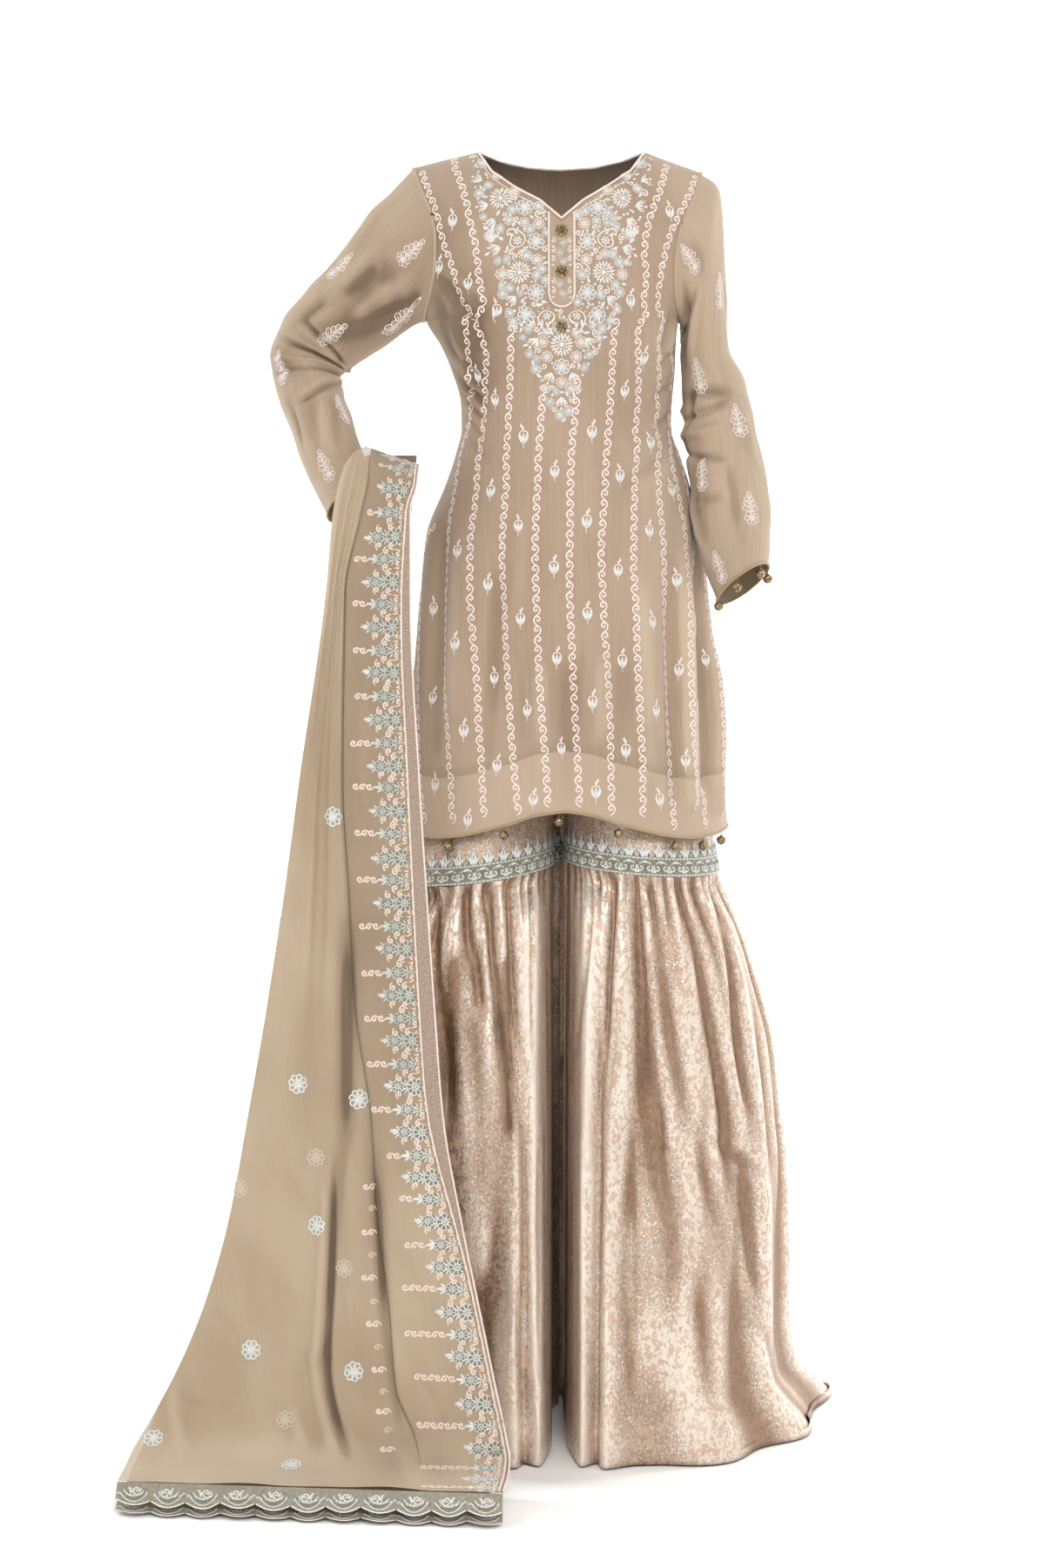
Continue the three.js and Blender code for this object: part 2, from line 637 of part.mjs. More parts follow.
// A sleeve leaves the armhole seam along a curve that runs smoothly into its first section.
function sleevePoint(rows, arm, u, v) {
  const seamPoint = armhole(u, arm);
  const angle = 2 * Math.PI * u;
  const ringPoint = (row) => new THREE.Vector3(
    row.x - Math.cos(angle) * row.outX,
    row.y - Math.sin(angle) * row.front,
    row.z - Math.cos(angle) * row.outZ + Math.sin(angle) * row.lift,
  );
  const first = ringPoint(rows[0]);
  const away = first.clone().sub(seamPoint).normalize();
  const start = seamPoint.addScaledVector(away, SLEEVE_SET);
  start.x += arm === 'Right' ? -SLEEVE_ASIDE : SLEEVE_ASIDE;
  if (v >= rows[0].at) return ringPoint(rowAt(rows, 'at', v));
  const ahead = rows[0].at / 2;
  const next = ringPoint(rowAt(rows, 'at', rows[0].at + ahead)).sub(first).multiplyScalar(2);
  const t = v / rows[0].at;
  const chord = first.clone().sub(start);
  const place = start.clone().addScaledVector(chord, t * t * (3 - 2 * t));
  place.addScaledVector(chord, t * (1 - t) * (1 - t));
  return place.addScaledVector(next, t * t * (t - 1));
}

const SLEEVE_SIDES = 2 * (ARM_SHARES.length - 1);
const SLEEVE_ROWS = [0, 0.04, 0.08, 0.2, 0.32, 0.44, 0.55, 0.66, 0.78, 0.89, 1];
const rightPoint = (u, v) => sleevePoint(SLEEVE_RIGHT, 'Right', u, v);
const leftPoint = (u, v) => sleevePoint(SLEEVE_LEFT, 'Left', u, v);
const sleeveRight = { point: rightPoint, side: 1, ring: true };
const sleeveLeft = { point: leftPoint, side: -1, ring: true };

function cuffCord(sleeve) {
  const outer = raised(sleeve, PIPING + 1.5 * SEAM);
  return cord(steps(SLEEVE_SIDES).slice(0, -1).map((u) => outer.point(u, 0.99)), PIPING, true, 5);
}

// ---------------------------------------------------------------- gharara
// One quarter of a leg section; power under 1 squares its corner.
function quarter(t, power) {
  const angle = (t * Math.PI) / 2;
  return [Math.pow(Math.sin(angle), power), Math.pow(Math.cos(angle), power)];
}

// A leg section from its inner side by way of the front, outer side and back.
function legSection(row, share) {
  const at = share * 4;
  if (at < 1) {
    const [x, y] = quarter(at, row.square);
    return [mix(row.middle, row.inner, y), mix(row.innerY, -row.front, x)];
  }
  if (at < 2) {
    const [x, y] = quarter(at - 1, 1);
    return [mix(row.middle, row.outer, x), mix(row.sideY, -row.front, y)];
  }
  if (at < 3) {
    const [x, y] = quarter(at - 2, 1);
    return [mix(row.middle, row.outer, y), mix(row.sideY, row.back, x)];
  }
  const [x, y] = quarter(at - 3, row.square);
  const nearest = Math.min(row.inner, mix(BACK_SPLIT, row.inner, Math.pow(at - 3, 4)));
  return [mix(row.middle, nearest, x), mix(row.innerY, row.back, y)];
}

function kneeLevel(leg, share) {
  return mix(KNEE[leg].inner, KNEE[leg].outer, (1 - Math.cos(2 * Math.PI * share)) / 2);
}

function legSign(leg) {
  return leg === 'left' ? 1 : -1;
}

// The section of a leg at any level, with the knee rows of the table brought to its own knee seam.
function legRow(leg, share, z) {
  const knee = kneeLevel(leg, share);
  const fixed = z < knee ? FLOOR : CROTCH_START;
  return rowAt(LEGS, 'z', mix(fixed, KNEE_ROW, (z - fixed) / (knee - fixed)));
}

// Upper leg: an open half of the hips above the crotch, closed round the leg below it.
function thighSurface(leg) {
  const point = (u, v) => {
    const z = mix(kneeLevel(leg, u), WAIST_SEAM - SEAM, v);
    const hips = rowAt(HIPS, 'z', z);
    const angle = Math.PI * u;
    const hipX = SEAM + hips.side * Math.sin(angle);
    const hipY = -Math.cos(angle) * (u < 0.5 ? hips.front : hips.back);
    const [legX, legY] = legSection(legRow(leg, u, z), u);
    const under = ease((CROTCH_START - z) / (CROTCH_START - CROTCH));
    const slit = (u - 0.5) * 2 * SEAM;
    const x = SPLIT_X + legSign(leg) * mix(hipX, legX, under);
    return new THREE.Vector3(x, mix(hipY, legY, under) + slit, z);
  };
  return { point, side: legSign(leg), ring: false };
}

// The band lies on the upper leg, just over the gathered seam.
function kneeBandSurface(leg) {
  const thigh = thighSurface(leg);
  const full = (u) => WAIST_SEAM - SEAM - kneeLevel(leg, u);
  const outer = raised(thigh, 2 * SEAM + TRIM);
  const point = (u, v) => outer.point(u, mix(1, KNEE_BAND, v) / full(u));
  return { point, side: thigh.side, ring: false };
}

// How far the gathers stand in or out, 1 at a ridge and -1 between two.
function gather(share, v) {
  const rows = FLARE_RIDGES;
  const at = wrap(share - rows[0].at) + rows[0].at;
  let k = 0;
  while (k < rows.length - 1 && at > rows[k + 1].at) k += 1;
  const a = rows[k];
  const b = rows[(k + 1) % rows.length];
  const next = b.at > a.at ? b.at : b.at + 1;
  const t = (at - a.at) / (next - a.at);
  const depth = mix(mix(a.top, a.hem, v), mix(b.top, b.hem, v), t);
  return depth * Math.cos(2 * Math.PI * t);
}

function flareSurface(leg) {
  const point = (u, v) => {
    const z = mix(kneeLevel(leg, u) - SEAM, FLOOR + 2, v);
    const row = legRow(leg, u, z);
    const [x, y] = legSection(row, u);
    const centreY = (row.back - row.front) / 2;
    const away = new THREE.Vector2(x - row.middle, y - centreY).normalize();
    const inside = ease((x - row.inner) / 30);
    const tuck = mix(FLARE_TUCK.knee, FLARE_TUCK.hem, v);
    const out = (gather(u, v) - tuck) * inside * ease(v * 8);
    return new THREE.Vector3(SPLIT_X + legSign(leg) * (x + away.x * out), y + away.y * out, z);
  };
  return { point, side: -legSign(leg), ring: true };
}

function waistbandSurface() {
  const point = (u, v) => {
    const z = mix(WAIST_SEAM, WAIST_TOP, v);
    const hips = rowAt(HIPS, 'z', z);
    const angle = 2 * Math.PI * u;
    const depth = Math.cos(angle) > 0 ? hips.front : hips.back;
    return new THREE.Vector3(SPLIT_X - hips.side * Math.sin(angle), -Math.cos(angle) * depth, z);
  };
  return { point, side: -1, ring: true };
}

// Grid lines of a flare: on every ridge, in every valley and half way between.
const FIRST_RIDGE = FLARE_RIDGES[0].at;
const FLARE_COLUMNS = refine([...FLARE_RIDGES.map((row) => row.at), 1 + FIRST_RIDGE], 4)
  .map((u) => u - FIRST_RIDGE);

function fromFirstRidge(surface) {
  return { ...surface, point: (u, v) => surface.point(wrap(u + FIRST_RIDGE), v) };
}

// ---------------------------------------------------------------- dupatta
function foldDepth(rows, at, v) {
  let depth = 0;
  for (const fold of rows) {
    const distance = (at - fold.at) / FOLD_WIDTH;
    depth += mix(fold.top, fold.bottom, v) * Math.exp(-distance * distance);
  }
  return depth;
}

// The front fall from its outer edge (u = 0) to the tissue strip (u = 1); strip carries on past it.
function fallPoint(u, v, onStrip) {
  const row = rowAt(FALL, 'at', v);
  const seamX = row.rightX - row.strip;
  const pleated = u < 0.5 && !onStrip;
  const part = pleated ? u * 2 : u * 2 - 1;
  const onFall = pleated ? mix(row.leftX, row.pleatX, part) : mix(row.pleatX, seamX, part);
  const x = onStrip ? mix(seamX + SEAM, row.rightX, u) : onFall;
  const across = (x - row.leftX) / (row.rightX - row.leftX);
  const lying = ease((v - LIES_FROM) / 0.04);
  const y = mix(row.leftY, row.rightY, across);
  const stand = pleated ? -foldDepth(FALL_FOLDS, part, v) * ease(v / 0.05) : 0;
  const proud = pleated ? row.proud * ease((part - 0.96) / 0.04) : row.proud;
  const out = proud - stand;
  const z = mix(row.leftZ, row.rightZ, across);
  return new THREE.Vector3(x, y - out * (1 - lying), z + Math.max(0, out) * 0.4 * lying);
}

const fallFront = { point: (u, v) => fallPoint(u, v, false), side: -1, ring: false };
const fallStrip = { point: (u, v) => fallPoint(u, v, true), side: -1, ring: false };

// The same cloth one layer further back where it hangs, and lower where it lies.
function underLayer(surface) {
  const point = (u, v) => {
    const at = mix(UNDER_START, 1, v);
    const turn = (Math.PI / 2) * ease((at - UNDER_TURN) / UNDER_TURN_SPAN);
    const gap = mix(CLOTH + 3 * SEAM, LAYER_GAP, ease(v / 0.1));
    const shift = new THREE.Vector3(0, gap * Math.cos(turn), -LAYER_DROP * Math.sin(turn));
    return surface.point(u, at).add(shift);
  };
  return { ...surface, point };
}

// Scalloped lace across the end of a layer, leaning forward and down to the floor.
function laceSurface(lower, leans) {
  const end = FALL[FALL.length - 1];
  const point = (u, v) => {
    const scallop = LACE + SCALLOP_DEPTH * Math.abs(Math.sin(Math.PI * SCALLOPS * u));
    const reach = scallop * v;
    return new THREE.Vector3(
      mix(end.leftX, end.rightX, u),
      mix(end.leftY, end.rightY, u) - leans.seam - reach * leans.forward,
      mix(end.leftZ, end.rightZ, u) - lower - reach * leans.down,
    );
  };
  return { point, side: -1, ring: false };
}

function rearPoint(u, v) {
  const row = rowAt(REAR, 'at', v);
  const x = mix(row.leftX, row.rightX, u);
  return new THREE.Vector3(x, row.y + row.fold * Math.sin(2 * Math.PI * REAR_FOLDS * u + 0.6), row.z);
}

const rearFall = { point: rearPoint, side: 1, ring: false };

// ---------------------------------------------------------------- the suit
const suit = new THREE.Group();

function add(name, finish, geometry) {
  const mesh = new THREE.Mesh(geometry, new THREE.MeshStandardMaterial(COLOURS[finish]));
  mesh.name = name;
  suit.add(mesh);
}

function addKurti() {
  add('kurti_front', 'chiffon', wall(front, front.columns, PANEL_ROWS));
  add('kurti_back', 'chiffon', wall(back, back.columns, PANEL_ROWS));
  add('sleeve_right', 'chiffon', wall(sleeveRight, steps(SLEEVE_SIDES), SLEEVE_ROWS));
  add('sleeve_left', 'chiffon', wall(sleeveLeft, steps(SLEEVE_SIDES), SLEEVE_ROWS));
  add('hem_facing_front', 'chiffon', wall(hemFacing(front), front.columns, [0, 1]));
  add('hem_facing_back', 'chiffon', wall(hemFacing(back), back.columns, [0, 1]));
  add('hem_piping_front', 'piping', hemCord(front));
  add('hem_piping_back', 'piping', hemCord(back));
  add('neck_piping', 'piping', neckPiping());
  add('cuff_piping_right', 'piping', cuffCord(sleeveRight));
  add('cuff_piping_left', 'piping', cuffCord(sleeveLeft));
  add('placket', 'chiffon', wall(placketSurface(), steps(6), steps(4), PLACKET_CLOTH));
  BUTTON_LEVELS.forEach((z, k) => {
    const under = z > PLACKET_END ? CLOTH + SEAM : -SEAM;
    add(`button_${k + 1}`, 'metal', button(z, under + 2 * SEAM));
  });
}

function addBeads() {
  const below = new THREE.Vector3(0, 0, -2 * SEAM);
  HEM_BEADS.forEach((x, k) => add(`hem_bead_${k + 1}`, 'metal', bead(onHem(x).add(below))));
  CUFF_BEADS.forEach((u, k) => {
    add(`cuff_bead_${k + 1}`, 'metal', bead(sleeveLeft.point(u, 1).add(below)));
  });
}

function addGharara() {
  const thighRows = [0, 0.09, 0.18, 0.29, 0.41, 0.6, 0.8, 1];
  const bandColumns = [0.012, ...steps(16).slice(1, -1), 0.988];
  const flareRows = [0, 0.08, 0.2, 0.4, 0.6, 0.8, 0.93, 1];
  add('waistband', 'jacquard', wall(waistbandSurface(), steps(20), [0, 1]));
  for (const leg of ['right', 'left']) {
    const flare = fromFirstRidge(flareSurface(leg));
    add(`thigh_${leg}`, 'jacquard', wall(thighSurface(leg), steps(16), thighRows));
    add(`knee_band_${leg}`, 'trim', wall(kneeBandSurface(leg), bandColumns, [0, 1], TRIM));
    add(`flare_${leg}`, 'jacquard', wall(flare, FLARE_COLUMNS, flareRows));
  }
}

function addDupatta() {
  const across = [0, 0.08, 0.145, 0.21, 0.275, 0.34, 0.41, 0.48, 0.505, 0.67, 0.84, 1];
  const down = FALL.map((row) => row.at);
  const underDown = [UNDER_START, 0.06, 0.13, 0.32, 0.53, 0.74, 0.82, 0.89, 0.94, 0.965, 1]
    .map((at) => (at - UNDER_START) / (1 - UNDER_START));
  const lace = laceSurface(0, LACE_LEANS);
  const underLace = laceSurface(LAYER_DROP, UNDER_LACE_LEANS);
  add('dupatta_front_layer', 'scarf', wall(fallFront, across, down));
  add('dupatta_under_layer', 'scarf', wall(underLayer(fallFront), across, underDown));
  add('dupatta_edge_strip', 'tissue', wall(fallStrip, [0, 1], down));
  add('dupatta_lace_front', 'trim', wall(lace, steps(SCALLOPS * 4), [0, 1], TRIM));
  add('dupatta_lace_under', 'trim', wall(underLace, steps(SCALLOPS * 2), [0, 1], TRIM));
  add('dupatta_rear_fall', 'scarf', wall(rearFall, steps(10), REAR.map((row) => row.at)));
}

addKurti();
addBeads();
addGharara();
addDupatta();

export default suit;
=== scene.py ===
"""Looks of the gharara suit: cloth, embroidery, trims and metal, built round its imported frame."""
import math

import bpy
import mathutils
import numpy as np
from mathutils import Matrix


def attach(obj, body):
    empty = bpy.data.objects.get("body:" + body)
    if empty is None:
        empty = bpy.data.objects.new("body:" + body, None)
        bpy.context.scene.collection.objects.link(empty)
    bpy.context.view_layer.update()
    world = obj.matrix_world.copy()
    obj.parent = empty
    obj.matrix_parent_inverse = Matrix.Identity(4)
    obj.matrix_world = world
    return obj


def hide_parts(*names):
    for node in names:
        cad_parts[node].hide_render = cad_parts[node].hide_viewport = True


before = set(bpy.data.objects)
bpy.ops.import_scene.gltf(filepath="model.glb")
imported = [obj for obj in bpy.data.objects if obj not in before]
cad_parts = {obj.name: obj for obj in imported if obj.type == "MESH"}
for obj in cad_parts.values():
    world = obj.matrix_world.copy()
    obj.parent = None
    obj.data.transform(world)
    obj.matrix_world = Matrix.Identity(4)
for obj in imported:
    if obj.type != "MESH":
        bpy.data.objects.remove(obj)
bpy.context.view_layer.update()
MM = 0.001  # the tables are in millimetres, in the frame's own axes

# ---------------------------------------------------------------- camera
CAMERA_PLACE = (-0.046, -4.0, -0.320)
CAMERA_TILT = 84.4  # degrees from straight down
CAMERA_LENS = 80.8

camera_data = bpy.data.cameras.new("camera")
camera_data.lens = CAMERA_LENS
camera_data.sensor_width = 36
camera = bpy.data.objects.new("camera", camera_data)
camera.location = CAMERA_PLACE
camera.rotation_euler = (math.radians(CAMERA_TILT), 0, 0)
bpy.context.scene.collection.objects.link(camera)
bpy.context.scene.camera = camera

# ---------------------------------------------------------------- driving dimensions
CLOTH = 1.2
SEAM = 0.3
FLOOR = -1460
SHOULDER_ROUND = 70
BODY_SQUARE = 0.85
SLIT_TOP = -520
SLIT_OPEN = 9
SLIT_EASE = 200
PLACKET_HALF = 14
PLACKET_END = -176
FACING_TOP = 66
SPLIT_X = -4
BACK_SPLIT = 1.5
WAIST_TOP = -300
WAIST_SEAM = -332
CROTCH_START = -610
CROTCH = -722
UNDERARM = -188
UNDERARM_V = 0.75
SLEEVE_SET = 1
SLEEVE_ASIDE = 1.2
KNEE_ROW = -806
KNEE = {"left": (-796, -808), "right": (-800, -821)}  # knee seam at the inner and outer side
LAYER_GAP = 8
LAYER_DROP = 20
UNDER_START = 0.03
SCALLOPS = 11
LACE = 24
SCALLOP_DEPTH = 8
BUTTON_LEVELS = (-92.5, -138, -197)
HEM_BEADS = (-128, -67, -6, 60, 124, 156, 178)
CUFF_BEADS = (0.04, 0.2, 0.36, 0.52)


def table(columns, rows):
    return dict(zip(columns.split(), np.array(rows, float).T))


def fold_table(rows):
    """Folds, as the function of that name draws them; a start and end of 0 may be left out."""
    return table("a0 b0 a1 b1 a2 b2 wide high start end",
                 [row + (0,) * (10 - len(row)) for row in rows])


def shares(thousandths):
    return [(a / 1000, b / 1000) for a, b in thousandths]


# ---------------------------------------------------------------- tables of sections
TORSO = table("z right left front back", [
    (-762, 190, 188, 152, 132), (-612, 173, 177, 134, 124), (-503, 163, 166, 119, 114),
    (-431, 156, 158, 110, 101), (-368, 132, 142, 101, 84), (-338, 122, 132, 96, 77),
    (-307, 115, 122, 93, 72), (-280, 116, 123, 96, 72), (-244, 126, 126, 107, 78),
    (-216, 138, 127, 116, 86), (-188, 155, 129, 116, 91), (-150, 165, 142, 108, 94),
    (-110, 173, 157, 97, 93), (-70, 178, 165, 87, 88), (-30, 180, 170, 76, 80),
    (2, 180, 172, 66, 72),
])
KURTI_HEM = table("out z", [
    (0, -727), (32, -732), (58, -741), (86, -749), (116, -757), (147, -761), (170, -760),
    (192, -755),
])
ARMHOLE = table("z frontRight frontLeft backRight backLeft", [
    (-188, 155, 129, 155, 129), (-160, 148, 123, 152, 131), (-130, 142, 122, 151, 134),
    (-100, 141, 125, 153, 137), (-73, 145, 133, 157, 141), (-47, 155, 145, 162, 147),
    (-17, 167, 154, 167, 154),
])
FRONT_TOP = table("share x z", [
    (0, -167, -17), (0.1, -132, -8), (0.2, -97, 0), (0.28, -80, -26), (0.36, -52, -46),
    (0.43, -27, -59), (0.5, -3, -79), (0.57, 21, -59), (0.64, 46, -44), (0.72, 74, -25),
    (0.8, 92, 0), (0.9, 122, -11), (1, 153, -22),
])
BACK_TOP = table("share x z", [
    (0, 153, -22), (0.1, 122, -11), (0.2, 92, 0), (0.28, 66, -9), (0.36, 33, -15), (0.5, -3, -17),
    (0.64, -39, -15), (0.72, -71, -9), (0.8, -97, 0), (0.9, -132, -8), (1, -167, -17),
])
SLEEVE_RIGHT = table("at x y z outX outZ front lift", [
    (0.08, -188, -2, -126, -18, 68, 55, 0), (0.2, -217, 2, -157, -34, 46, 51, 0),
    (0.32, -248, 8, -186, -41, 34, 49, 2), (0.44, -277, 14, -213, -42, 23, 46, 6),
    (0.55, -291, 15, -240, -41, 8, 44, 14), (0.66, -286, 4, -268, -38, 1, 42, 20),
    (0.78, -272, -18, -306, -36, -4, 40, 20), (0.89, -255, -46, -350, -32, -9, 37, 19),
    (1, -235, -70, -389, -28, -16, 33, 17),
])
SLEEVE_LEFT = table("at x y z outX outZ front lift", [
    (0.08, 155, 4, -125, 22, 74, 55, 0), (0.2, 159, 8, -178, 26, 26, 55, 0),
    (0.33, 161, 8, -222, 28, 6, 54, 0), (0.46, 171, 4, -268, 37, 4, 50, 6),
    (0.58, 177, -8, -315, 41, 3, 47, 14), (0.7, 184, -28, -360, 43, 3, 44, 18),
    (0.8, 189, -46, -400, 43, 7, 42, 18), (0.9, 192, -66, -440, 39, 11, 40, 17),
    (1, 199, -84, -480, 28, 18, 38, 15),
])
HIPS = table("z side front back", [
    (-722, 158, 112, 104), (-640, 156, 108, 104), (-560, 153, 105, 101), (-470, 147, 98, 92),
    (-400, 128, 89, 76), (-350, 110, 84, 66), (-300, 104, 81, 61),
])
LEGS = table("z inner outer front back middle sideY innerY square", [
    (-1460, 8, 328, 187, 236, 104, 140, 0, 0.5), (-1430, 8, 305, 185, 222, 104, 110, 0, 0.5),
    (-1393, 8, 278, 182, 204, 104, 70, 0, 0.52), (-1322, 8, 268, 179, 184, 104, 30, 0, 0.55),
    (-1200, 8, 264, 174, 162, 104, 0, -5, 0.6), (-1100, 8, 256, 168, 144, 104, -12, -10, 0.65),
    (-1000, 8, 242, 160, 124, 104, -20, -16, 0.72), (-900, 8, 217, 150, 100, 102, -26, -22, 0.82),
    (-850, 8, 199, 141, 87, 99, -28, -26, 0.9), (-806, 8, 181, 130, 74, 95, -28, -28, 1),
    (-765, 6, 175, 121, 84, 90, -18, -18, 1), (-722, 2, 166, 112, 92, 84, -10, -10, 1),
    (-610, 1, 157, 107, 98, 79, -5, -5, 1),
])
FLARE_RIDGES = table("at top hem", [
    (0.02, 1.5, 5), (0.12, 2, 9), (0.2, 2.5, 10), (0.31, 2, 8), (0.4, 2.5, 12), (0.5, 2, 9),
    (0.61, 2, 12), (0.7, 2.5, 9), (0.81, 2, 11), (0.91, 1.5, 7),
])
FALL = table("at leftX leftY leftZ pleatX rightX rightY rightZ proud strip", [
    (0, -220, -78, -328, -214, -161, -80, -348, 0, 3),
    (0.012, -230, -98, -333, -214, -161, -100, -352, 3, 3),
    (0.03, -243, -118, -352, -214, -162, -122, -368, 6, 3),
    (0.06, -254, -127, -402, -222, -169, -130, -400, 8, 5),
    (0.13, -262, -130, -486, -240, -169, -133, -488, 9, 10),
    (0.32, -293, -140, -698, -243, -159, -150, -698, 10, 13),
    (0.42, -307, -150, -806, -237, -152, -160, -806, 10, 15),
    (0.53, -327, -164, -935, -230, -143, -176, -935, 10, 17),
    (0.64, -349, -174, -1060, -212, -133, -190, -1060, 11, 18),
    (0.74, -370, -184, -1177, -204, -112, -206, -1177, 12, 19),
    (0.82, -397, -193, -1270, -192, -92, -226, -1270, 12, 19),
    (0.89, -432, -203, -1352, -184, -74, -250, -1352, 11, 19),
    (0.94, -459, -216, -1400, -164, -64, -270, -1395, 8, 19),
    (0.965, -473, -240, -1422, -158, -60, -290, -1418, 5, 19),
    (0.98, -477, -276, -1429, -156, -62, -320, -1428, 3, 19),
    (1, -480, -322, -1431, -156, -67, -366, -1431, 2, 19),
])
FALL_FOLDS = table("at top bottom", [
    (0.16, 5, 2), (0.42, 7, 6), (0.68, 6, 4), (0.9, 4, 8),
])
REAR = table("at leftX rightX y z fold", [
    (0, -221, -163, -77.7, -338, 0), (0.02, -221.6, -164, -54, -339.5, 1),
    (0.045, -220.6, -166, -28, -356, 2), (0.1, -232, -174, -14, -430, 4),
    (0.3, -283, -190, -22, -650, 8), (0.42, -300, -208, -14, -780, 9),
    (0.6, -338, -246, -2, -980, 10), (0.8, -384, -274, 4, -1210, 11), (1, -430, -300, 6, -1436, 12),
])

# Vines of the front, each from its upper end: height and place across, in thousandths.
VINES = [shares(path) for path in (
    [
        (450, 78), (430, 40), (370, 30), (300, 54), (200, 94), (110, 136), (50, 170), (20, 192),
    ],
    [
        (990, 16), (940, 12), (900, 12), (870, 22), (830, 58), (780, 122), (750, 200), (710, 172),
        (660, 136), (620, 100), (570, 74), (530, 92), (450, 152), (400, 156), (340, 162),
        (250, 192), (180, 224), (100, 251), (40, 265), (20, 275),
    ],
    [
        (1000, 130), (950, 126), (900, 116), (860, 134), (810, 164), (770, 222), (710, 253),
        (660, 208), (600, 178), (560, 178), (510, 214), (460, 244), (400, 259), (340, 271),
        (290, 287), (210, 307), (150, 317), (100, 329), (20, 343),
    ],
    [
        (740, 377), (710, 359), (670, 339), (620, 317), (570, 315), (520, 331), (450, 353),
        (380, 359), (320, 367), (250, 375), (190, 385), (120, 395), (60, 405), (10, 413),
    ],
    [
        (650, 445), (610, 435), (560, 429), (510, 431), (440, 437), (380, 439), (310, 443),
        (230, 449), (150, 457), (70, 465), (10, 469),
    ],
    [
        (660, 541), (610, 537), (550, 525), (490, 519), (440, 517), (370, 515), (310, 515),
        (230, 519), (150, 523), (70, 527), (10, 529),
    ],
    [
        (750, 655), (710, 645), (660, 643), (590, 637), (540, 617), (480, 601), (420, 587),
        (370, 585), (290, 587), (210, 589), (130, 591), (70, 591), (10, 591),
    ],
    [
        (990, 874), (940, 872), (900, 874), (850, 872), (810, 874), (760, 814), (740, 743),
        (680, 745), (620, 752), (540, 713), (480, 681), (400, 663), (320, 659), (250, 655),
        (170, 655), (90, 657), (20, 655),
    ],
    [
        (990, 990), (940, 985), (910, 980), (880, 970), (840, 955), (790, 920), (730, 850),
        (680, 850), (630, 858), (570, 840), (510, 786), (460, 766), (390, 756), (330, 749),
        (270, 741), (180, 733), (100, 729), (10, 727),
    ],
    [
        (710, 934), (660, 954), (610, 965), (560, 904), (530, 876), (470, 858), (400, 840),
        (330, 818), (250, 798), (180, 790), (130, 790), (40, 790),
    ],
    [
        (600, 975), (520, 940), (450, 916), (380, 902), (280, 870), (200, 850), (130, 832),
        (70, 826), (10, 824),
    ],
    [
        (420, 975), (300, 950), (200, 930), (100, 910), (15, 905),
    ],
)]

# Buds between the vines: place across and height, in thousandths.
BUDS = shares([
    (58, 905), (194, 872), (134, 803), (305, 765), (176, 670), (248, 635), (375, 577), (479, 519),
    (585, 582), (653, 521), (691, 646), (774, 695), (794, 572), (774, 778), (798, 882), (944, 923),
    (10, 835), (285, 502), (395, 443), (555, 445), (715, 444), (838, 504), (481, 373), (623, 379),
    (794, 374), (208, 416), (319, 364), (118, 330), (407, 303), (551, 305), (699, 310), (844, 307),
    (238, 281), (345, 225), (487, 234), (623, 245), (906, 253), (774, 244), (158, 201), (427, 162),
    (557, 172), (693, 180), (830, 180), (281, 154), (495, 97), (623, 113), (365, 93), (766, 112),
    (210, 77), (441, 26), (561, 38), (695, 52), (307, 22),
])

# Sprays on the front of the sleeves: place round and down, in thousandths.
SPRAYS = {
    "Right": shares([
        (241, 45), (393, 222), (99, 148), (219, 399), (386, 607), (125, 772), (332, 920),
    ]),
    "Left": shares([
        (218, 40), (353, 194), (169, 413), (320, 579), (119, 723), (315, 842), (120, 955),
    ]),
}

# Flowers of the dupatta: place across the pleated part and down, in thousandths.
SCARF_FLOWERS = shares([
    (766, 353), (395, 610), (910, 624), (592, 743), (813, 875), (50, 952), (311, 859), (562, 974),
])
# what shows of the layer below: whole hook ends past the fold, and paler ones through the cloth
HOOK_ENDS = shares([
    (977, 706), (950, 748), (923, 790), (926, 832), (943, 872), (926, 915), (903, 957),
])
VEILED_HOOKS = shares([
    (963, 726), (936, 769), (920, 812), (930, 852), (940, 893), (906, 936),
])
VEILED_FLOWERS = shares([
    (565, 680), (766, 782), (518, 929), (40, 710),
])
UNDER_FLOWERS = shares([
    (90, 461), (579, 681), (60, 712), (776, 781), (522, 930),
])

# The worked ground of the yoke: its reach from the middle at each level.
YOKE = table("z out", [
    (0, 102), (-20, 98), (-50, 94), (-75, 88), (-100, 80), (-130, 72), (-165, 66), (-195, 55),
    (-225, 38), (-250, 25), (-275, 15), (-300, 4),
])

# Larger motifs of the yoke, each with its mirror image: kind 0 to 2 is a flower, large to small,
# 3 a paisley and 4 a sprig.
YOKE_MOTIFS = table("kind out z angle", [
    (1, 86, -15, 0), (2, 72, -30, 0), (4, 92, -34, 60), (0, 68, -56, 0), (2, 50, -47, 0),
    (4, 86, -64, 100), (1, 40, -66, 0), (4, 76, -82, 130), (2, 25, -84, 0), (3, 50, -100, 20),
    (1, 28, -104, 0), (4, 72, -112, 110), (2, 27, -124, 0), (0, 46, -138, 0), (2, 66, -140, 0),
    (1, 28, -160, 0), (4, 54, -168, 130), (3, 18, -188, 150), (1, 39, -184, 0), (0, 0, -217, 0),
    (2, 21, -214, 0), (2, 16, -230, 0), (4, 30, -214, 140), (1, 0, -241, 0), (4, 13, -252, 160),
    (2, 0, -258, 0), (4, 0, -279, 180),
])

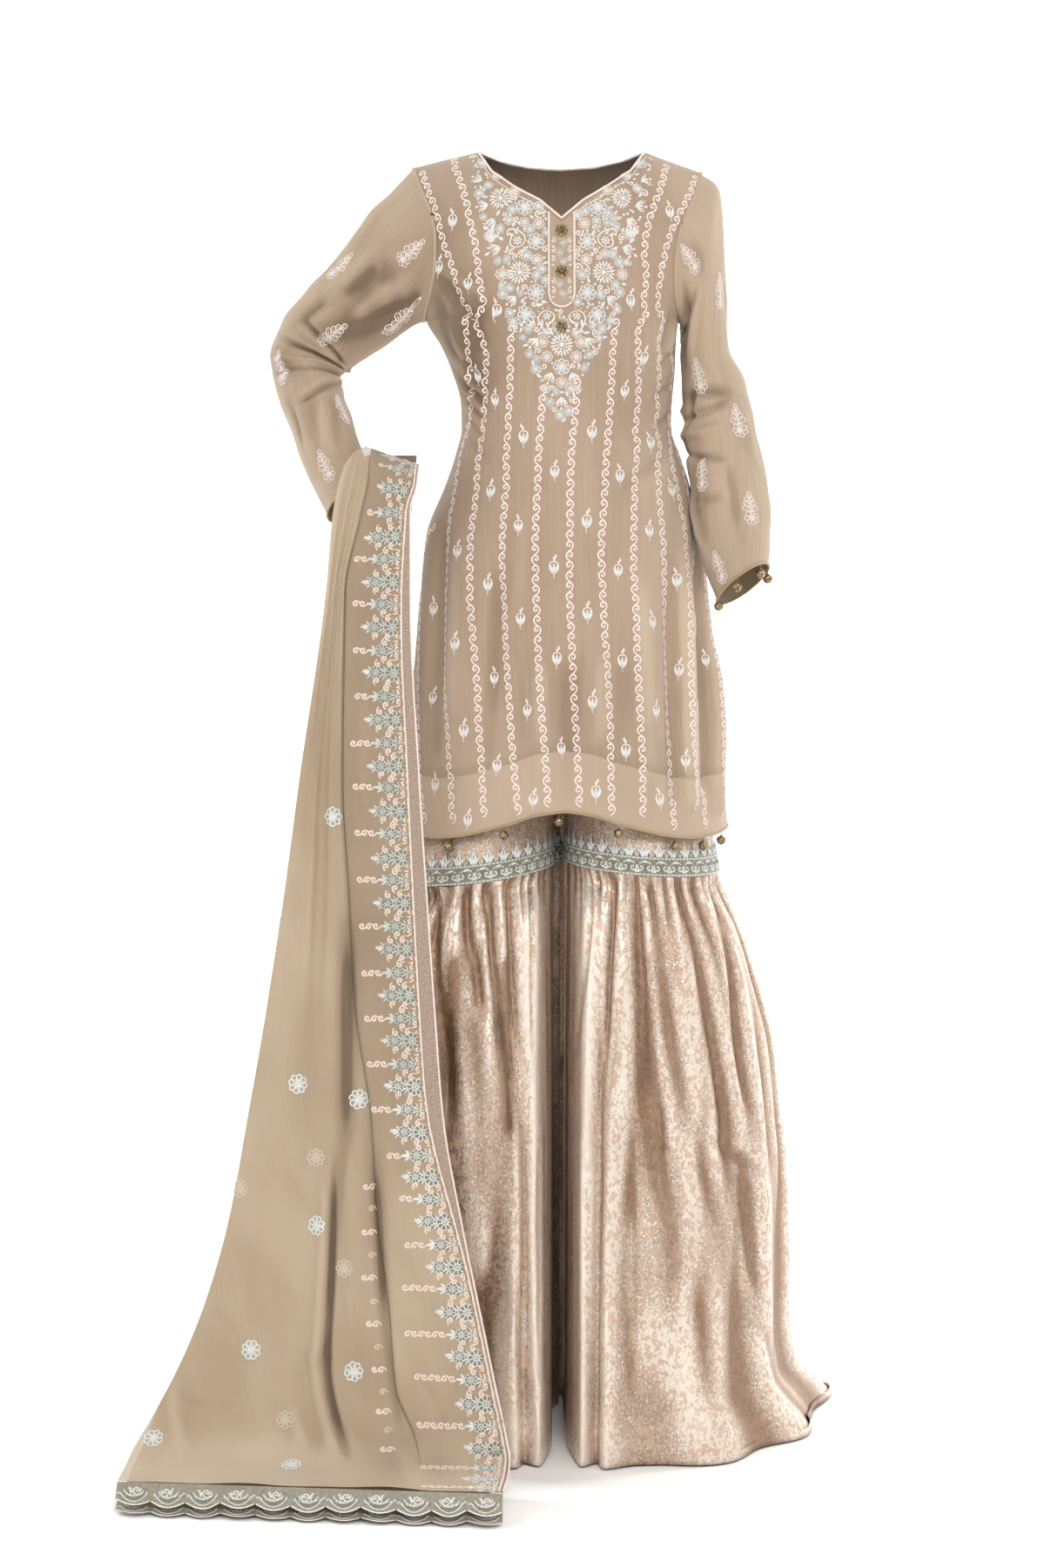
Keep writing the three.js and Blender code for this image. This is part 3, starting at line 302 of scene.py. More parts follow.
# Folds worked into the cloths, each in its cloth's own flat millimetres.
KURTI_FOLDS = {
    "front": fold_table([
        (-146, -153, -137, -189, -114, -239, 5, -4, 0.8),
        (-143, -141, -113, -173, -85, -214, 6, -4, 0.8),
        (-136, -136, -99, -154, -60, -176, 6, 3, 0.6),
        (-143, -167, -121, -220, -97, -270, 5, 3.5, 0.5),
        (-132, -212, -112, -239, -86, -259, 4, -3.4, 0.4),
        (-128, -234, -108, -264, -83, -285, 4, -3.6, 0.4),
        (-122, -256, -104, -287, -79, -309, 4, -3.4, 0.4),
        (-116, -282, -103, -310, -79, -330, 4, -3, 0.4),
        (-115, -309, -98, -332, -79, -347, 4, -2.6, 0.3),
        (-130, -223, -110, -253, -85, -273, 4, 3, 0.3),
        (-125, -247, -106, -276, -81, -299, 4, 3, 0.3),
        (124, -172, 115, -205, 107, -244, 5, -4, 0.8),
        (127, -219, 111, -237, 91, -251, 4, -3.4, 0.6),
        (125, -256, 114, -269, 94, -276, 4, -3.2, 0.6),
        (123, -286, 118, -300, 98, -309, 4, -3, 0.6), (128, -192, 113, -222, 97, -259, 5, 3, 0.4),
        (7, -546, 8, -622, 4, -698, 13, -5, 0, 0.5), (40, -527, 44, -603, 40, -679, 15, 5, 0, 0.4),
        (-27, -536, -25, -603, -29, -678, 15, 5, 0, 0.4),
        (-135, -376, -141, -529, -143, -664, 9, -6, 0.3, 0.5),
        (-118, -412, -120, -548, -121, -681, 11, 5, 0.2, 0.5),
        (150, -395, 157, -549, 161, -704, 7, -8, 0.3, 0.8),
        (133, -413, 138, -567, 140, -721, 9, 7, 0.2, 0.8),
        (167, -514, 177, -630, 175, -735, 6, 6, 0.2, 0.8),
        (116, -452, 122, -586, 124, -711, 8, -6, 0.1, 0.6),
        (85, -451, 89, -566, 93, -680, 13, 5, 0, 0.5),
        (-75, -431, -79, -547, -84, -661, 13, -5, 0, 0.4), (-46, -374, -46, -451, -50, -527, 12, 3),
        (-85, -374, -46, -362, 2, -366, 10, -3), (50, -374, 89, -361, 125, -336, 9, -3.4, 0, 0.2),
        (41, -317, 80, -335, 120, -316, 9, 3),
    ]),
    "back": fold_table([
        (-140, -160, -120, -205, -92, -250, 6, -4, 0.7),
        (138, -158, 122, -210, 96, -246, 6, -4, 0.7),
        (-128, -250, -100, -275, -60, -290, 6, -3.4, 0.4),
        (-124, -290, -92, -312, -50, -322, 6, 3.4, 0.3),
        (-122, -322, -84, -340, -30, -344, 8, -4, 0.3),
        (126, -262, 96, -284, 52, -300, 6, -3.6, 0.4), (122, -300, 88, -322, 40, -330, 7, 3.6, 0.3),
        (124, -334, 80, -352, 20, -350, 8, -4, 0.3),
        (-10, -470, -14, -590, -6, -720, 14, -6, 0, 0.5),
        (40, -440, 46, -580, 52, -715, 15, 6, 0, 0.5),
        (-64, -450, -70, -580, -76, -712, 15, 6, 0, 0.5),
        (-112, -420, -122, -560, -128, -705, 12, -6, 0.1, 0.5),
        (96, -430, 108, -570, 116, -712, 12, -6, 0.1, 0.5),
        (-30, -120, -8, -190, -14, -260, 14, -3), (40, -150, 30, -210, 34, -270, 12, 3),
        (152, -430, 160, -570, 164, -710, 8, 6, 0.2, 0.6),
        (-150, -440, -158, -580, -160, -700, 8, 6, 0.2, 0.6),
    ]),
}
SLEEVE_FOLDS = {
    "Right": fold_table([
        (10, 274, 56, 269, 107, 261, 6, -6, 0.9), (0, 290, 63, 344, 130, 321, 6, -5, 0.9),
        (22, 256, 64, 218, 103, 208, 6, -6, 0.9), (0, 314, 57, 387, 103, 392, 6, -4.5, 0.8),
        (17, 267, 65, 253, 118, 240, 7, 5, 0.7), (5, 283, 63, 317, 116, 293, 7, 5, 0.7),
        (87, 155, 90, 182, 91, 236, 8, -4), (73, 60, 80, 107, 79, 153, 8, -4, 0.2),
        (48, 28, 59, 101, 56, 169, 7, 4, 0.5), (29, 23, 39, 89, 41, 157, 6, -4, 0.7),
        (100, 365, 110, 413, 114, 456, 9, -3.5, 0, 0.3), (54, 377, 65, 432, 76, 477, 9, 4, 0, 0.3),
        (130, 28, 113, 65, 108, 111, 11, 3), (250, 272, 208, 262, 168, 250, 6, -5, 0.8),
        (252, 292, 210, 312, 160, 318, 7, -5, 0.8), (246, 250, 204, 222, 172, 200, 7, 5, 0.6),
        (190, 60, 196, 120, 188, 190, 10, -4), (160, 360, 170, 420, 164, 480, 9, 4, 0, 0.3),
        (222, 350, 214, 410, 220, 470, 9, -4, 0, 0.3), (232, 40, 226, 110, 230, 160, 8, 4, 0.4),
    ]),
    "Left": fold_table([
        (8, 279, 52, 284, 88, 262, 6, -6, 0.8), (0, 299, 43, 320, 77, 305, 7, 5, 0.6),
        (0, 326, 40, 362, 73, 361, 6, -5, 0.6), (18, 405, 40, 414, 57, 409, 6, -4, 0.3),
        (0, 325, 17, 280, 40, 227, 6, -5, 0.4), (0, 378, 10, 429, 18, 477, 7, 4, 0, 0.4),
        (63, 355, 63, 418, 67, 478, 8, -4, 0, 0.4), (51, 47, 40, 120, 30, 208, 8, 4),
        (107, 79, 125, 129, 124, 204, 9, -3.5), (51, 13, 23, 18, 3, 152, 7, -5, 0.3, 0.2),
        (71, 0, 58, 15, 69, 77, 9, -3), (93, 265, 98, 321, 95, 378, 6, 4),
        (252, 282, 206, 290, 166, 270, 6, -5, 0.8), (256, 320, 210, 346, 170, 340, 7, -5, 0.6),
        (250, 260, 210, 240, 176, 214, 7, 5, 0.6), (180, 60, 172, 130, 180, 200, 10, -4),
        (150, 380, 158, 430, 152, 480, 9, 4, 0, 0.3), (214, 390, 206, 440, 212, 486, 9, -4, 0, 0.3),
        (230, 40, 236, 110, 228, 180, 8, 4, 0.3),
    ]),
}
FLARE_FOLDS = {
    "left": fold_table([
        (130, 17, 114, 112, 73, 243, 10, -6, 1), (179, 13, 179, 102, 168, 236, 9, -6, 1),
        (219, 11, 240, 165, 267, 452, 13, -10, 1), (253, 20, 275, 228, 338, 444, 14, -11, 0.6),
        (322, 8, 333, 166, 360, 433, 12, -9, 1), (410, 15, 385, 148, 374, 276, 11, -8, 1),
        (273, 50, 286, 242, 311, 397, 15, 7), (336, 50, 353, 226, 398, 410, 15, 7),
        (182, 168, 196, 378, 185, 573, 18, 8), (247, 280, 258, 453, 267, 590, 20, 7),
        (133, 268, 120, 424, 140, 577, 12, -8, 0, 0.4),
        (225, 300, 231, 474, 225, 610, 14, -2, 0, 0.5),
        (297, 416, 309, 515, 315, 615, 15, -8, 0, 0.6), (369, 276, 378, 406, 396, 512, 11, -9),
        (323, 282, 360, 318, 425, 346, 8, -7), (380, 487, 420, 562, 418, 619, 11, -7, 0, 0.5),
        (0, 113, 2, 212, 56, 298, 9, -5, 0.4), (450, 60, 455, 260, 448, 430, 11, 6, 0.4),
    ]),
    "right": fold_table([
        (336, 8, 280, 136, 266, 306, 14, -12, 1), (267, 13, 240, 92, 219, 180, 10, -8, 1),
        (223, 3, 206, 94, 203, 239, 12, -10, 1), (171, 9, 170, 107, 152, 244, 10, -7, 1),
        (117, 15, 115, 103, 130, 226, 9, -6, 1), (254, 159, 246, 314, 244, 471, 17, 8),
        (178, 183, 174, 377, 199, 571, 16, 8), (220, 306, 227, 442, 242, 570, 12, -4, 0, 0.4),
        (114, 268, 105, 425, 126, 578, 10, -8, 0, 0.5),
        (249, 431, 244, 530, 230, 609, 11, -7, 0, 0.5), (176, 533, 119, 570, 9, 608, 10, 5),
        (410, 60, 418, 260, 405, 430, 13, -8, 0.5),
    ]),
}
# where the cloths lie in their own shade (below 0) or catch more light (above 0)
KURTI_SHADES = fold_table([
    (-99, -146, -98, -194, -94, -243, 27, -1.3, 0.4, 0.4),
    (-141, -117, -138, -174, -96, -237, 34, -1.7, 0.6, 0.4),
    (-159, -37, -145, -75, -135, -124, 32, -0.9, 0.3, 0.3),
    (-110, -220, -97, -259, -88, -306, 15, -1.3, 0.5),
    (100, -201, 107, -412, 128, -662, 48, 1.1, 0.4, 0.5),
])
SLEEVE_SHADES = {
    "Right": fold_table([
        (70, 361, 93, 411, 111, 449, 26, -0.8, 0.3, 0.3),
        (32, 35, 47, 166, 66, 260, 24, -1.6, 0.6, 0.3),
        (52, 16, 57, 71, 60, 161, 28, -0.9, 0.6, 0.2),
        (95, 280, 89, 308, 82, 341, 12, -1.2, 0.6, 0.3), (130, 363, 130, 431, 130, 475, 22, 0.5),
    ]),
    "Left": fold_table([
        (55, 19, 34, 33, 24, 190, 12, -1, 0.3, 0.8), (20, 245, 56, 240, 93, 261, 13, -1.5, 1, 0.2),
        (32, 315, 24, 391, 17, 455, 13, -1.3, 0.5, 0.6),
        (30, 484, 28, 498, 32, 514, 8, -0.8, 0.5, 0.5),
        (125, 310, 125, 406, 128, 502, 16, 0.7, 0.3, 0.3),
    ]),
}
FLARE_SHADES = {
    "left": fold_table([
        (76, 111, 65, 180, 61, 278, 6, -0.6, 0.6),
        (131, 172, 152, 362, 170, 613, 18, 0.7, 0.2, 0.8),
        (246, 453, 263, 551, 293, 602, 26, 1.2, 0, 0.5),
        (246, 89, 243, 165, 245, 280, 7, -0.7, 0.6),
        (14, 651, 248, 623, 314, 625, 34, 0.6, 0.6, 0.4),
        (225, 357, 230, 425, 234, 512, 12, 1.3, 0, 0.2),
    ]),
    "right": fold_table([
        (275, 89, 270, 167, 265, 274, 11, -2, 1), (190, 95, 196, 172, 194, 268, 12, -2.6, 0.8, 0.8),
        (194, 268, 192, 346, 206, 433, 8, -0.6, 0.8),
        (113, 113, 118, 335, 129, 538, 10, 1, 0.5, 0.5),
        (248, 608, 201, 612, 100, 626, 26, 1, 0.5, 0.5), (239, 372, 243, 412, 241, 451, 12, 0.8),
    ]),
}
DUPATTA_SHADES = fold_table([
    (-412, 1271, -291, 1259, -168, 1255, 36, 1.9, 0.6, 0.2),
    (-186, 1265, -157, 1255, -157, 1249, 30, 1.1, 0.3, 0.5),
    (-284, 612, -280, 739, -286, 879, 30, -0.5, 0.2, 0.2),
    (-240, 538, -237, 727, -241, 919, 10, -2.2),
    (-241, 836, -256, 983, -257, 1115, 7, -1.5, 0, 0.3),
    (-257, 1055, -264, 1158, -230, 1258, 7, -1.2), (-210, 846, -202, 972, -195, 1113, 7, -2),
    (-198, 1053, -189, 1144, -174, 1235, 5, -1),
])
DUPATTA_FOLDS = fold_table([
    (-254, 846, -255, 1029, -262, 1115, 4.5, -9, 0, 1),
    (-262, 1115, -259, 1183, -230, 1264, 4.5, -9, 1),
    (-262, 860, -264, 1029, -272, 1115, 9, 6, 0, 1), (-272, 1115, -270, 1183, -241, 1264, 9, 6, 1),
    (-234, 793, -232, 972, -236, 1157, 11, 5), (-290, 847, -304, 1035, -331, 1211, 15, -5),
    (-334, 794, -348, 974, -376, 1164, 19, 5), (-398, 1062, -374, 1075, -348, 1094, 6, -4),
    (-430, 1167, -390, 1195, -357, 1182, 7, -4), (-427, 1136, -439, 1192, -410, 1258, 9, 4),
    (-304, 1161, -284, 1222, -285, 1266, 8, 4), (-286, 413, -295, 633, -314, 848, 16, 4),
    (-264, 300, -268, 528, -274, 739, 8, -4, 0.5),
    (-311, 575, -305, 563, -267, 556, 3, -1.6, 0.5, 0.5),
    (-354, 859, -334, 846, -276, 840, 3, -1.6, 0.5, 0.5), (-323, 660, -346, 809, -376, 980, 14, -4),
    (-105, 1089, -122, 1151, -145, 1251, 9, -6), (-94, 1140, -98, 1201, -121, 1256, 8, 6),
    (-169, 1110, -141, 1151, -126, 1215, 8, -6), (-122, 1029, -141, 1071, -170, 1090, 9, 5),
    (-209, 569, -189, 559, -170, 553, 3, -2.4, 0.5, 0.5), (-199, 737, -191, 875, -178, 1010, 10, 5),
    (-218, 189, -220, 355, -222, 526, 9, 4),
])
REAR_CREASES = fold_table([
    (20, 80, 26, 360, 18, 640, 8, -6, 0.4), (48, 60, 44, 420, 56, 820, 9, 6, 0.4),
    (82, 90, 88, 500, 80, 980, 8, -6, 0.3), (30, 640, 36, 900, 30, 1200, 9, 5, 0, 0.4),
    (64, 700, 58, 940, 66, 1230, 9, -5, 0, 0.4), (6, 566, 50, 560, 104, 570, 4, -2, 0.5, 0.5),
    (6, 850, 50, 846, 104, 852, 4, -2, 0.5, 0.5),
])


# ---------------------------------------------------------------- reading the tables
def row_at(rows, key, value):
    """The table's row at any values of its key, eased between rows with no overshoot."""
    order = 1 if rows[key][-1] > rows[key][0] else -1
    grid = rows[key][::order]
    at = np.clip(value, grid[0], grid[-1])
    k = np.clip(np.searchsorted(grid, at, side="right") - 1, 0, len(grid) - 2)
    span = grid[k + 1] - grid[k]
    t = (at - grid[k]) / span
    row = {}
    for name, column in rows.items():
        ys = column[::order]
        slope = np.diff(ys) / np.diff(grid)
        product = slope[:-1] * slope[1:]
        total = np.where(product > 0, slope[:-1] + slope[1:], 1)
        inner = np.where(product > 0, 2 * product / total, 0)
        tangent = np.concatenate([slope[:1], inner, slope[-1:]])
        m0, m1, rise = tangent[k] * span, tangent[k + 1] * span, ys[k + 1] - ys[k]
        row[name] = ys[k] + t * (m0 + t * (3 * rise - 2 * m0 - m1 + t * (m0 + m1 - 2 * rise)))
    return row


def mix(a, b, t):
    return a + (b - a) * t


def ease(t):
    c = np.clip(t, 0, 1)
    return c * c * (3 - 2 * c)


def stack(x, y, z):
    return np.stack(np.broadcast_arrays(x, y, z), axis=-1).astype(float)


def unit(vectors):
    return vectors / np.maximum(np.linalg.norm(vectors, axis=-1, keepdims=True), 1e-9)


def distances(line):
    """How far along a line each of its points lies."""
    return np.concatenate([[0], np.cumsum(np.linalg.norm(np.diff(line, axis=0), axis=1))])


def tangents(line, loop=False):
    """The direction of a line at each of its points."""
    return unit(np.roll(line, -1, 0) - np.roll(line, 1, 0) if loop else np.gradient(line, axis=0))


def steps(*marks):
    """Even steps between marks given as (place, steps to the next place)."""
    runs = [np.linspace(a, b, count, endpoint=False)
            for (a, count), (b, _) in zip(marks[:-1], marks[1:])]
    return np.concatenate([*runs, [marks[-1][0]]])


# ---------------------------------------------------------------- cloth
LEAST_CREASE = 2.4  # rise over the cloth beside it at which a fold counts as full


class Cloth:
    """A sheet as a grid of points in millimetres; rows run across it and columns along it."""

    # crest also carries the painted shade and painted light of the shade tables; the materials
    # paint shade into troughs and highlight onto crests from it
    crest = None  # how far its folds stand up or sink at each point: 1 is a full fold, 0 level

    def __init__(self, points, side, us, vs, ring=False):
        """us and vs are the shares of the cloth at which its columns and rows stand."""
        self.points, self.side, self.ring = points, side, ring
        self.us, self.vs = np.asarray(us).ravel(), np.asarray(vs).ravel()
        p = points
        if self.ring:  # the last column is the first one again
            wide = np.concatenate([p[:, -2:-1], p, p[:, 1:2]], axis=1)
            self.across = (wide[:, 2:] - wide[:, :-2]) / 2
        else:
            self.across = np.gradient(p, axis=1)
        self.along = np.gradient(p, axis=0)
        self.normal = unit(np.cross(self.across, self.along)) * self.side

    def at(self, u, v):
        """The grid place (row, column) at shares of the cloth."""
        return np.array([np.interp(v, self.vs, np.arange(len(self.vs))),
                         np.interp(u, self.us, np.arange(len(self.us)))])

    def lifted(self, height):
        """The cloth moved along its normals; a height for each point gives it its crest."""
        varied = isinstance(height, np.ndarray)
        offset = self.normal * (height[..., None] if varied else height)
        cloth = Cloth(self.points + offset, self.side, self.us, self.vs, self.ring)
        cloth.crest = crests(height, 5, LEAST_CREASE, self.ring) if varied else self.crest
        return cloth

    def lengths(self, anchor=0.5):
        """How far each point lies across the cloth from an anchor line, and along from row 0."""
        across, along = (np.cumsum(np.linalg.norm(np.diff(self.points, axis=axis), axis=-1), axis)
                         for axis in (1, 0))
        across = np.pad(across, ((0, 0), (1, 0)))
        across -= across[:, [round(anchor * (across.shape[1] - 1))]]
        return across, np.pad(along, ((1, 0), (0, 0)))

    def sample(self, grid, i, j):
        rows, columns = grid.shape[:2]
        if self.ring:
            j = np.mod(j, columns - 1)
        i0 = np.clip(np.floor(i).astype(int), 0, rows - 2)
        j0 = np.clip(np.floor(j).astype(int), 0, columns - 2)
        s, t = np.clip(i - i0, -1, 2)[..., None], np.clip(j - j0, -1, 2)[..., None]
        low = grid[i0, j0] * (1 - t) + grid[i0, j0 + 1] * t
        high = grid[i0 + 1, j0] * (1 - t) + grid[i0 + 1, j0 + 1] * t
        return low * (1 - s) + high * s

    def point(self, i, j):
        return self.sample(self.points, i, j)

    def out(self, i, j):
        return unit(self.sample(self.normal, i, j))

    def find(self, spot):
        """The grid place nearest a spot given by its x and z."""
        flat = self.points[..., ::2]
        place = np.array(np.unravel_index(
            np.argmin(((flat - spot) ** 2).sum(-1)), flat.shape[:2]), float)
        for _ in range(3):
            error = np.asarray(spot) - self.sample(flat, *place)
            jac = np.stack([self.sample(self.along[..., ::2], *place),
                            self.sample(self.across[..., ::2], *place)], axis=1)
            move, *_ = np.linalg.lstsq(jac, error, rcond=None)
            place += np.clip(move, -1, 1)
            place[0] = np.clip(place[0], 0, flat.shape[0] - 1)
            if not self.ring:
                place[1] = np.clip(place[1], 0, flat.shape[1] - 1)
        return place

    def spread(self, place, up, local):
        """Grid places of local (x, y) offsets round a place, with y along the direction up."""
        i, j = place
        di, dj = self.sample(self.along, i, j), self.sample(self.across, i, j)
        normal = self.out(i, j)
        up = unit(np.asarray(up, float) - normal * np.dot(up, normal))
        offset = local[:, :1] * np.cross(up, normal) + local[:, 1:2] * up
        metric = np.array([[di @ di, di @ dj], [di @ dj, dj @ dj]])
        moved = np.linalg.solve(metric, np.stack([offset @ di, offset @ dj]))
        return i + moved[0], j + moved[1]


def folds(rows, across, down):
    """Height over the cloth of soft folds, each drawn from a0, b0 past a1, b1 to a2, b2.

    wide is its half width and high its height, below 0 for a trough; a start or end of 1 holds its
    full height there instead of fading out.
    """
    height = np.zeros(np.broadcast_shapes(across.shape, down.shape))
    t = np.linspace(0, 1, 9)[:, None]
    for *marks, wide, high, start, end in zip(*rows.values()):
        ends = np.reshape(marks, (3, 2))
        line = (1 - t) ** 2 * ends[0] + 2 * t * (1 - t) * ends[1] + t ** 2 * ends[2]
        best = np.full(height.shape, 1e9)
        place = np.zeros(height.shape)
        for s in range(len(line) - 1):
            (a, b), (c, d) = line[s], line[s + 1]
            run = (c - a) ** 2 + (d - b) ** 2
            along = np.clip(((across - a) * (c - a) + (down - b) * (d - b)) / run, 0, 1)
            distance = np.hypot(across - a - along * (c - a), down - b - along * (d - b))
            nearer = distance < best
            best = np.where(nearer, distance, best)
            place = np.where(nearer, (s + along) / (len(line) - 1), place)
        fade = np.maximum(ease(place / 0.35), start) * np.maximum(ease((1 - place) / 0.35), end)
        height += high * fade * np.exp(-(best / wide) ** 2)
    return height


def folds_round(rows, across, down, span):
    """The same on a tube, where a fold may run over the seam."""
    return sum(folds(rows, across + turn * span, down) for turn in (-1, 0, 1))


SWELLS = {  # seed, height, size and how much longer than wide
    "front": (3, 0.7, 90, 2.5), "back": (4, 0.7, 90, 2.5), "left": (8, 0.8, 70, 2),
    "right": (9, 0.8, 70, 2), "upper": (12, 0.8, 110, 2.5), "lower": (14, 1.0, 120, 2),
    "strip": (15, 0.15, 60, 1), "rear": (16, 0.8, 100, 2.5)}
TUBE_SWELLS = {  # seed, height and how quickly it changes down the tube
    "Right": (5, 0.8, 4), "Left": (6, 0.8, 4), "right": (32, 1.6, 2), "left": (31, 1.6, 2)}


def swell(kind, across, down):
    """Slow uneven swell of cloth, from a few waves in random directions."""
    seed, high, size, stretch = SWELLS[kind]
    random = np.random.default_rng(seed)
    total = np.zeros(np.broadcast_shapes(across.shape, down.shape))
    for _ in range(7):
        turn, phase = random.uniform(0, math.pi), random.uniform(0, 2 * math.pi)
        pitch = size * random.uniform(0.7, 1.6)
        wave = across * math.cos(turn) + down * math.sin(turn) / stretch
        total += np.sin(2 * math.pi * wave / pitch + phase)
    return high * (total / 3.5)


def tube_swell(kind, u, v):
    """Slow uneven swell that meets itself round a tube."""
    seed, high, rows = TUBE_SWELLS[kind]
    random = np.random.default_rng(seed)
    total = 0 * u + 0 * v
    for _ in range(8):
        turns, rate = random.integers(1, 5), random.uniform(-2.5, 2.5)
        total = total + np.sin(2 * math.pi * (turns * u + rate * (v * rows) + random.uniform()))
    return high * (total / 4)


def crests(height, reach, depth, ring=False):
    """How far each place stands above or below the cloth within reach of it, from -1 to 1."""
    wide = np.pad(height, ((0, 0), (reach, reach)), mode="wrap" if ring else "edge")
    total = np.cumsum(np.pad(wide, ((0, 0), (1, 0))), axis=1)
    span = 2 * reach + 1
    return np.clip((height - (total[:, span:] - total[:, :-span]) / span) / depth, -1, 1)


# ---------------------------------------------------------------- meshes
def add_object(name, data):
    made = bpy.data.objects.new(name, data)
    bpy.context.scene.collection.objects.link(made)
    return made


def link(mesh, name, nodes=()):
    piece = add_object(name, mesh)
    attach(piece, "root")
    if nodes:
        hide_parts(*nodes)
    return piece


def raw_mesh(name, points, faces, materials, tones=None, uv=None):
    """A smooth mesh of quads or triangles; tones picks a material and uv is given per corner."""
    mesh = bpy.data.meshes.new(name)
    faces = np.asarray(faces, np.int32)
    mesh.vertices.add(len(points))
    mesh.vertices.foreach_set("co", (np.asarray(points) * MM).astype(np.float32).ravel())
    mesh.loops.add(faces.size)
    mesh.loops.foreach_set("vertex_index", faces.ravel())
    mesh.polygons.add(len(faces))
    mesh.polygons.foreach_set("loop_start", np.arange(len(faces), dtype=np.int32) * faces.shape[1])
    mesh.polygons.foreach_set("use_smooth", np.ones(len(faces), bool))
    for material in materials:
        mesh.materials.append(material)
    if tones is not None:
        mesh.polygons.foreach_set("material_index", np.asarray(tones, np.int32))
    if uv is not None:
        layer = mesh.uv_layers.new(name="cloth")
        layer.data.foreach_set("uv", (uv * MM).astype(np.float32).ravel())
    mesh.update(calc_edges=True)
    mesh.validate()
    return mesh


def sheet(name, cloth, material, nodes, anchor=0.5, uv=None):
    """A sheet of cloth from its grid, with the size it was cut to worked out."""
    p = cloth.points
    rows, columns = p.shape[:2]
    across, along = cloth.lengths(anchor) if uv is None else uv
    i, j = np.meshgrid(np.arange(rows - 1), np.arange(columns - 1), indexing="ij")
    corners = [(i, j), (i, j + 1), (i + 1, j + 1), (i + 1, j)]
    if cloth.side < 0:
        corners.reverse()
    width = columns - 1 if cloth.ring else columns
    faces = np.stack([a * width + b % width for a, b in corners], axis=-1).reshape(-1, 4)
    coords = np.stack([np.stack([across[a, b], along[a, b]], -1) for a, b in corners], axis=2)
    mesh = raw_mesh(name, p[:, :width].reshape(-1, 3), faces, [material],
                    uv=coords.reshape(-1, 2))
    # the crest goes on the mesh as an attribute, from which the materials paint shade and highlight
    # into the colour
    if cloth.crest is not None:
        crest = mesh.attributes.new("crest", "FLOAT", "POINT")
        crest.data.foreach_set("value", cloth.crest[:, :width].astype(np.float32).ravel())
    piece = link(mesh, name, nodes)
    wide = np.linalg.norm(np.diff(p, axis=1), axis=-1).sum(1)
    long = np.linalg.norm(np.diff(p, axis=0), axis=-1).sum(0)
    sides = np.linalg.norm(np.cross(cloth.across, cloth.along), axis=-1)
    area = float(sides[:-1, :-1].sum()) * MM * MM
    flat = (round(float(wide.max()) * MM, 3), round(float(long.max()) * MM, 3))
    area = min(max(area, LEAST_FILLED * flat[0] * flat[1]), flat[0] * flat[1])


LEAST_FILLED = 0.32  # least share of its flat size that a sheet fills


def rings(count, sides, loop=False):
    """Quads between rings of points, one ring after another."""
    i, j = np.meshgrid(np.arange(count if loop else count - 1), np.arange(sides), indexing="ij")
    ahead, k = (i + 1) % count * sides, (j + 1) % sides
    return np.stack([i * sides + j, i * sides + k, ahead + k, ahead + j], -1).reshape(-1, 4)


def cord_mesh(points, radius, loop, sides=8, twist=0.0):
    """Points and quads of a round cord along a line; twist gives it the lay of a rope."""
    ahead = tangents(points, loop)
    flat = np.where(np.abs(ahead[:, 2:]) > 0.9, [[0, 1.0, 0]], [[0, 0, 1.0]])
    a = unit(np.cross(flat, ahead))
    b = np.cross(ahead, a)
    turn = np.linspace(0, 2 * math.pi, sides, endpoint=False)
    strands = np.abs(np.sin(turn + twist * distances(points)[:, None])) if twist else 0
    radii = np.ones((len(points), sides)) * (1 + 0.16 * strands) * radius
    ring = (points[:, None] + radii[..., None] * (
        np.cos(turn)[None, :, None] * a[:, None] + np.sin(turn)[None, :, None] * b[:, None]))
    return ring.reshape(-1, 3), rings(len(points), sides, loop)


def join(parts):
    """One set of points and faces, with tones, from several (points, faces, tone)."""
    points, faces, tones, start = [], [], [], 0
    for p, f, tone in parts:
        points.append(p)
        faces.append(np.asarray(f) + start)
        tones.append(np.full(len(f), tone) if np.isscalar(tone) else tone)
        start += len(p)
    return np.concatenate(points), np.concatenate(faces), np.concatenate(tones)


# ---------------------------------------------------------------- kurti form
SHOULDER_SEAM = 0.25  # added to half the gap where the panels meet at the shoulder
RIGHT_TIP, RIGHT_NECK, V_POINT, LEFT_NECK, LEFT_TIP = (
    (FRONT_TOP["x"][k], FRONT_TOP["z"][k]) for k in (0, 2, 6, 10, 12))

SHOULDER_LINE = {name: FRONT_TOP[name][[0, 1, 2, 10, 11, 12]] for name in ("x", "z")}


def shoulder_roll(x, z):
    """How much of its full depth the torso has below the shoulder line."""
    top = np.interp(x, SHOULDER_LINE["x"], SHOULDER_LINE["z"])
    drop = np.clip((top - z) / SHOULDER_ROUND, 0, 1)
    return np.sqrt(1 - (1 - drop) ** 2)


def torso_x(turn, z):
    row = row_at(TORSO, "z", z)
    return np.sin(turn) * np.where(turn < 0, row["right"], row["left"])


def turn_at(x, z):
    row = row_at(TORSO, "z", z)
    return np.arcsin(np.clip(x / np.where(x < 0, row["right"], row["left"]), -1, 1))


def torso(turn, z, face):
    """Points at turns from the middle, -90 to 90 degrees, on the front or the back."""
    row = row_at(TORSO, "z", z)
    x = torso_x(turn, z)
    roll = shoulder_roll(x, z)
    depth = np.maximum(0, np.cos(turn)) ** BODY_SQUARE * roll
    slit = SLIT_OPEN / 2 * ease((SLIT_TOP - z) / SLIT_EASE)
    seam = SEAM / 2 + slit + SHOULDER_SEAM * (1 - roll)
    y = -seam - row["front"] * depth if face == "front" else seam + row["back"] * depth
    return stack(x, y, z)


